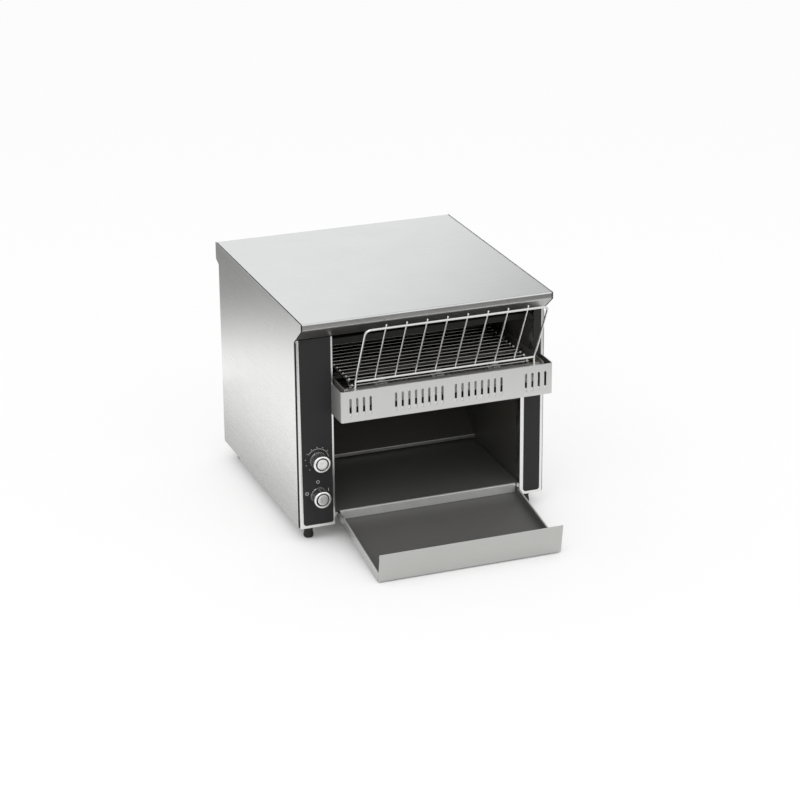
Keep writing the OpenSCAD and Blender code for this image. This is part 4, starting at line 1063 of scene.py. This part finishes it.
def light_world(strength):
    """White light from all round, and plain white where the world itself is seen."""
    world = bpy.data.worlds.new("studio_world")
    bpy.context.scene.world = world
    world.use_nodes = True
    tree = world.node_tree
    soft = tree.nodes["Background"]
    white = tree.nodes.new("ShaderNodeBackground")
    for light, power in ((soft, strength), (white, 1.0)):
        light.inputs["Color"].default_value = (1.0, 1.0, 1.0, 1.0)
        light.inputs["Strength"].default_value = power
    mix_shaders(tree, straight_rays(tree), soft.outputs["Background"], white.outputs["Background"],
                "World Output")


def softbox(name, place, aim, size, power):
    """A rectangular lamp at place, turned towards aim."""
    lamp = bpy.data.lights.new(name, "AREA")
    lamp.shape = "RECTANGLE"
    lamp.size, lamp.size_y = size
    lamp.energy = power
    holder = bpy.data.objects.new(name, lamp)
    bpy.context.scene.collection.objects.link(holder)
    holder.location = place
    holder.rotation_euler = (Vector(aim) - Vector(place)).to_track_quat("-Z", "Y").to_euler()


def reflected_only(card):
    """Hides a studio card from everything but the metal."""
    card.visible_camera = card.visible_diffuse = card.visible_shadow = False
    card.visible_transmission = card.visible_volume_scatter = False


def card_finish(name, stops, scale, measure):
    """The finish of a card that goes from clear to dark, or back, along a distance."""
    finish, tree, main = shader(name)
    tree.nodes.remove(main)
    length = tree.nodes.new("ShaderNodeVectorMath")
    length.operation = measure
    tree.links.new(place_pattern(tree, scale), length.inputs[0])
    if measure == "DOT_PRODUCT":
        length.inputs[1].default_value = (1.0, 1.0, 1.0)
    fade = tones(tree, length.outputs["Value"], [(place, (value,) * 3) for place, value in stops])
    dark = tree.nodes.new("ShaderNodeEmission")
    dark.inputs["Color"].default_value = (0.20, 0.20, 0.195, 1.0)
    clear = tree.nodes.new("ShaderNodeBsdfTransparent")
    mix_shaders(tree, fade, clear.outputs["BSDF"], dark.outputs["Emission"], "Material Output")
    return finish


def table_surround():
    """Dark studio floor beyond the round white table, seen only in the metal."""
    clear_selection()
    bpy.ops.mesh.primitive_plane_add(size=9.0, location=(0.0, 0.0, 0.004))
    card = name_piece("table_surround")
    stops = [(0.163, 0.0), (0.185, 0.08), (0.21, 0.38), (0.235, 0.66), (0.265, 0.84), (0.33, 0.92)]
    card.data.materials.append(card_finish("surround_fade", stops, (0.25, 0.25, 0.0), "LENGTH"))
    reflected_only(card)


def rear_flag():
    """Dark flag behind and to the right, seen only in the metal."""
    clear_selection()
    bpy.ops.mesh.primitive_plane_add(size=2.6, location=(1.55, 0.95, 1.5),
                                     rotation=(math.pi / 2, 0.0, 0.0))
    card = name_piece("rear_flag")
    stops = [(0.38, 0.0), (0.46, 0.10), (0.52, 0.28), (0.58, 0.48), (0.70, 0.72), (1.0, 0.80)]
    card.data.materials.append(card_finish("flag_fade", stops, (0.4, 0.0, 0.4), "DOT_PRODUCT"))
    reflected_only(card)


def contact_shade():
    """Shade on the floor along both sides of the body, seen only in the metal."""
    clear_selection()
    bpy.ops.mesh.primitive_cube_add(size=1.0, location=(0.0, 0.22, 0.002),
                                    scale=(0.66, 0.66, 0.0002))
    card = name_piece("contact_shade")
    stops = [(0.46, 0.36), (0.56, 0.29), (0.66, 0.14), (0.80, 0.0)]
    card.data.materials.append(card_finish("contact_fade", stops, (2.5, 0.0, 0.0), "LENGTH"))
    reflected_only(card)


lay_floor()
light_world(0.94)
table_surround()
contact_shade()
rear_flag()
softbox("key_softbox", (-1.3, -1.2, 2.2), (0.0, 0.0, 0.15), (1.6, 1.2), 10.0)
softbox("fill_softbox", (1.8, -1.4, 1.4), (0.0, 0.0, 0.15), (1.2, 1.2), 3.0)

# ---------------------------------------------------------------- camera

TURN, RISE, ROLL = -0.357841, 0.372258, -0.0080384
DISTANCE, SHIFT_X, SHIFT_Y = 3.620011, -0.0327964, 0.1551414
FOCAL_PIXELS, PICTURE_PIXELS, SENSOR = 2568.156, 800.0, 36.0

back = Vector((math.sin(TURN) * math.cos(RISE), -math.cos(TURN) * math.cos(RISE), math.sin(RISE)))
level = (-back).cross(Vector((0.0, 0.0, 1.0))).normalized()
upright = level.cross(-back)
right = math.cos(ROLL) * level + math.sin(ROLL) * upright
above = -math.sin(ROLL) * level + math.cos(ROLL) * upright

camera_data = bpy.data.cameras.new("camera")
camera = bpy.data.objects.new("camera", camera_data)
bpy.context.scene.collection.objects.link(camera)
camera_data.sensor_width = SENSOR
camera_data.lens = FOCAL_PIXELS / PICTURE_PIXELS * SENSOR
camera_data.clip_end = 100.0
pose = Matrix((right, above, back)).transposed().to_4x4()
pose.translation = spot(0, 0, 0) + DISTANCE * back + SHIFT_X * right + SHIFT_Y * above
camera.matrix_world = pose
bpy.context.scene.camera = camera
bpy.context.scene.view_settings.view_transform = "Standard"
